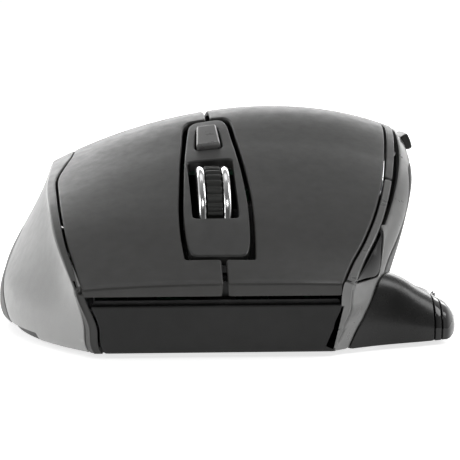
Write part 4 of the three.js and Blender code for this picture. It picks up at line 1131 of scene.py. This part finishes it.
def base_outline():
    """The base plate's outline; behind the front it widens to lie under the wing."""
    ys = np.concatenate([np.linspace(-58.4, -42.4, 20), np.linspace(-41.9, 60.4, 130)])
    inset = np.where(ys < -42, 2.7, 0.5)
    left = outline_at(ys)["groundLeftX"] + inset
    right = outline_at(ys)["groundRightX"] - inset
    xs = np.linspace(28, 43.6, 90)
    for i, y in enumerate(ys):
        hit = xs[(wing_front(xs) + 0.8 <= y) & (wing_rear(xs) - 0.8 >= y)]
        if y > -42 and len(hit):
            right[i] = max(right[i], min(hit.max() - 0.6, 42.2))
    return joined(pairs(left, ys), pairs(right, ys)[::-1])


SCREWS = [(-33.5, 31, 1.6), (22.5, 37, 1.6), (-4.6, 46, 1.6), (-25, -22, 1.3), (12, -22, 1.3)]
DOOR = np.array([-27.5, -12.5, -13.5, 40.5])
DOOR_GAP = 0.4 * np.array([-1, 1, -1, 1])
FEET = [(-26, -48.5, 12, 4.5), (8, -51.5, 12, 4.5), (-6, 52.5, 20, 5), (36, -30, 5, 22)]
plate_loops = [base_outline(), slab(*(DOOR + DOOR_GAP)), slab(4, 12, 38.2, 42)]
plate_loops += [disc(*screw) for screw in SCREWS]
under("underside_plate", "base_plate", 0.8, plate_loops, "frame_plastic", radius=0.25, depth=1.2,
      spacing=2.5, edge=0.5, corner=0.4)
under("cell_door", "battery_door", 0.85, [slab(*DOOR)], "frame_plastic",
      body="door", radius=0.25, depth=0.9, spacing=2.0, corner=0.8)
for i in range(4):
    y = -10.6 + 1.7 * i
    under("door_rib_%d" % (i + 1), None, 0.35, [slab(-24.5, -15.5, y, y + 0.8)], "frame_plastic",
          body="door", radius=0.2, depth=0.5, spacing=1.0, edge=0.3, corner=0.3)
for i, (x, y, w, d) in enumerate(FEET, 1):
    under("glide_%d" % i, "foot_%d" % i, 0.0, [slab(x - w / 2, x + w / 2, y - d / 2, y + d / 2)],
          "foot_pad", radius=0.2, depth=0.75, spacing=1.2, edge=0.4, corner=1.6)
sole_x = np.linspace(26.5, 38.2, 30)
sole_loop = joined(pairs(sole_x, wing_front(sole_x) + 1.0), line((38.2, -42.4), (27.4, -42.4)))
under("wing_sole", None, 0.95, [sole_loop], "wing_plastic", radius=0.15, depth=1.2, spacing=1.2, edge=0.4,
      corner=0.4)


# ---- the floor, the light and the camera
def stage_and_light():
    world = bpy.data.worlds.new("studio")
    bpy.context.scene.world = world
    world.use_nodes = True
    tree = world.node_tree
    background = tree.nodes["Background"]
    coords = tree.nodes.new("ShaderNodeTexCoord")
    split = tree.nodes.new("ShaderNodeSeparateXYZ")
    tree.links.new(coords.outputs["Generated"], split.inputs[0])
    # A white cove behind and beside, dimmer overhead, falling off to a dim room in front.
    away = spread(tree, split.outputs["Y"], 0.12, 1, -0.7, 0.25)
    above = spread(tree, split.outputs["Z"], 1, 0.32, 0.12, 0.65)
    glow = mixed(tree, multiplied(tree, away, above), (0, 0, 0), (1.0, 1.0, 1.0))
    tree.links.new(glow, background.inputs["Color"])
    background.inputs["Strength"].default_value = 1.05

    mesh = bpy.data.meshes.new("floor")
    mesh.from_pydata([(-3, -3, 0), (3, -3, 0), (3, 3, 0), (-3, 3, 0)], [], [(0, 1, 2, 3)])
    floor = bpy.data.objects.new("floor", mesh)
    bpy.context.collection.objects.link(floor)
    tree, shader, coords = nodes_of("pale_floor")
    pale = mixed(tree, noise(tree, coords, 30.0), (0.9, 0.9, 0.9), (0.92, 0.92, 0.92))
    tree.links.new(pale, shader.inputs["Base Color"])
    shader.inputs["Roughness"].default_value = 0.6
    shader.inputs["Emission Color"].default_value = (1, 1, 1, 1)
    shader.inputs["Emission Strength"].default_value = 0.72
    mesh.materials.append(MAT["pale_floor"])

    def area(name, at, to, size, power, size_y=None):
        light = bpy.data.lights.new(name, "AREA")
        light.shape = "RECTANGLE"
        light.size = size
        light.size_y = size_y or size
        light.energy = power
        obj = bpy.data.objects.new(name, light)
        obj.location = at
        obj.rotation_euler = (Vector(to) - Vector(at)).to_track_quat("-Z", "Y").to_euler()
        bpy.context.collection.objects.link(obj)

    area("top_light", (0.0, 0.3, 0.7), (0, 0, 0.02), 0.6, 0.4, 0.3)
    area("back_light", (0.0, 1.0, 0.42), (0, 0, 0.03), 1.3, 5.5, 0.45)
    area("left_light", (-0.65, -0.1, 0.25), (0, 0, 0.02), 0.25, 0.95, 0.5)
    area("right_light", (0.55, 0.1, 0.45), (0, 0, 0.02), 0.25, 1.3, 0.4)
    area("strip_light", (0.0, -0.42, 0.5), (0, -0.05, 0.02), 0.5, 0.5, 0.12)

    # Low in front of the mouse, a little to its finger side, through a long lens.
    camera = bpy.data.objects.new("camera", bpy.data.cameras.new("camera"))
    bpy.context.collection.objects.link(camera)
    camera.data.sensor_width = 36.0
    camera.data.lens = 205.9826
    target = (np.array([0.0, -10.0, 20.0]) + SHIFT) / 1000.0
    azimuth, elevation, distance = math.radians(-4), math.radians(6), 0.56
    reach = math.cos(elevation)
    way = Vector((math.sin(azimuth) * reach, -math.cos(azimuth) * reach, math.sin(elevation)))
    camera.location = Vector(target) + way * distance
    camera.rotation_euler = (-way).to_track_quat("-Z", "Y").to_euler()
    camera.data.shift_x = 0.002173913
    camera.data.shift_y = -0.005
    camera.data.clip_start = 0.01
    bpy.context.scene.camera = camera
    bpy.context.scene.view_settings.view_transform = "Standard"


stage_and_light()
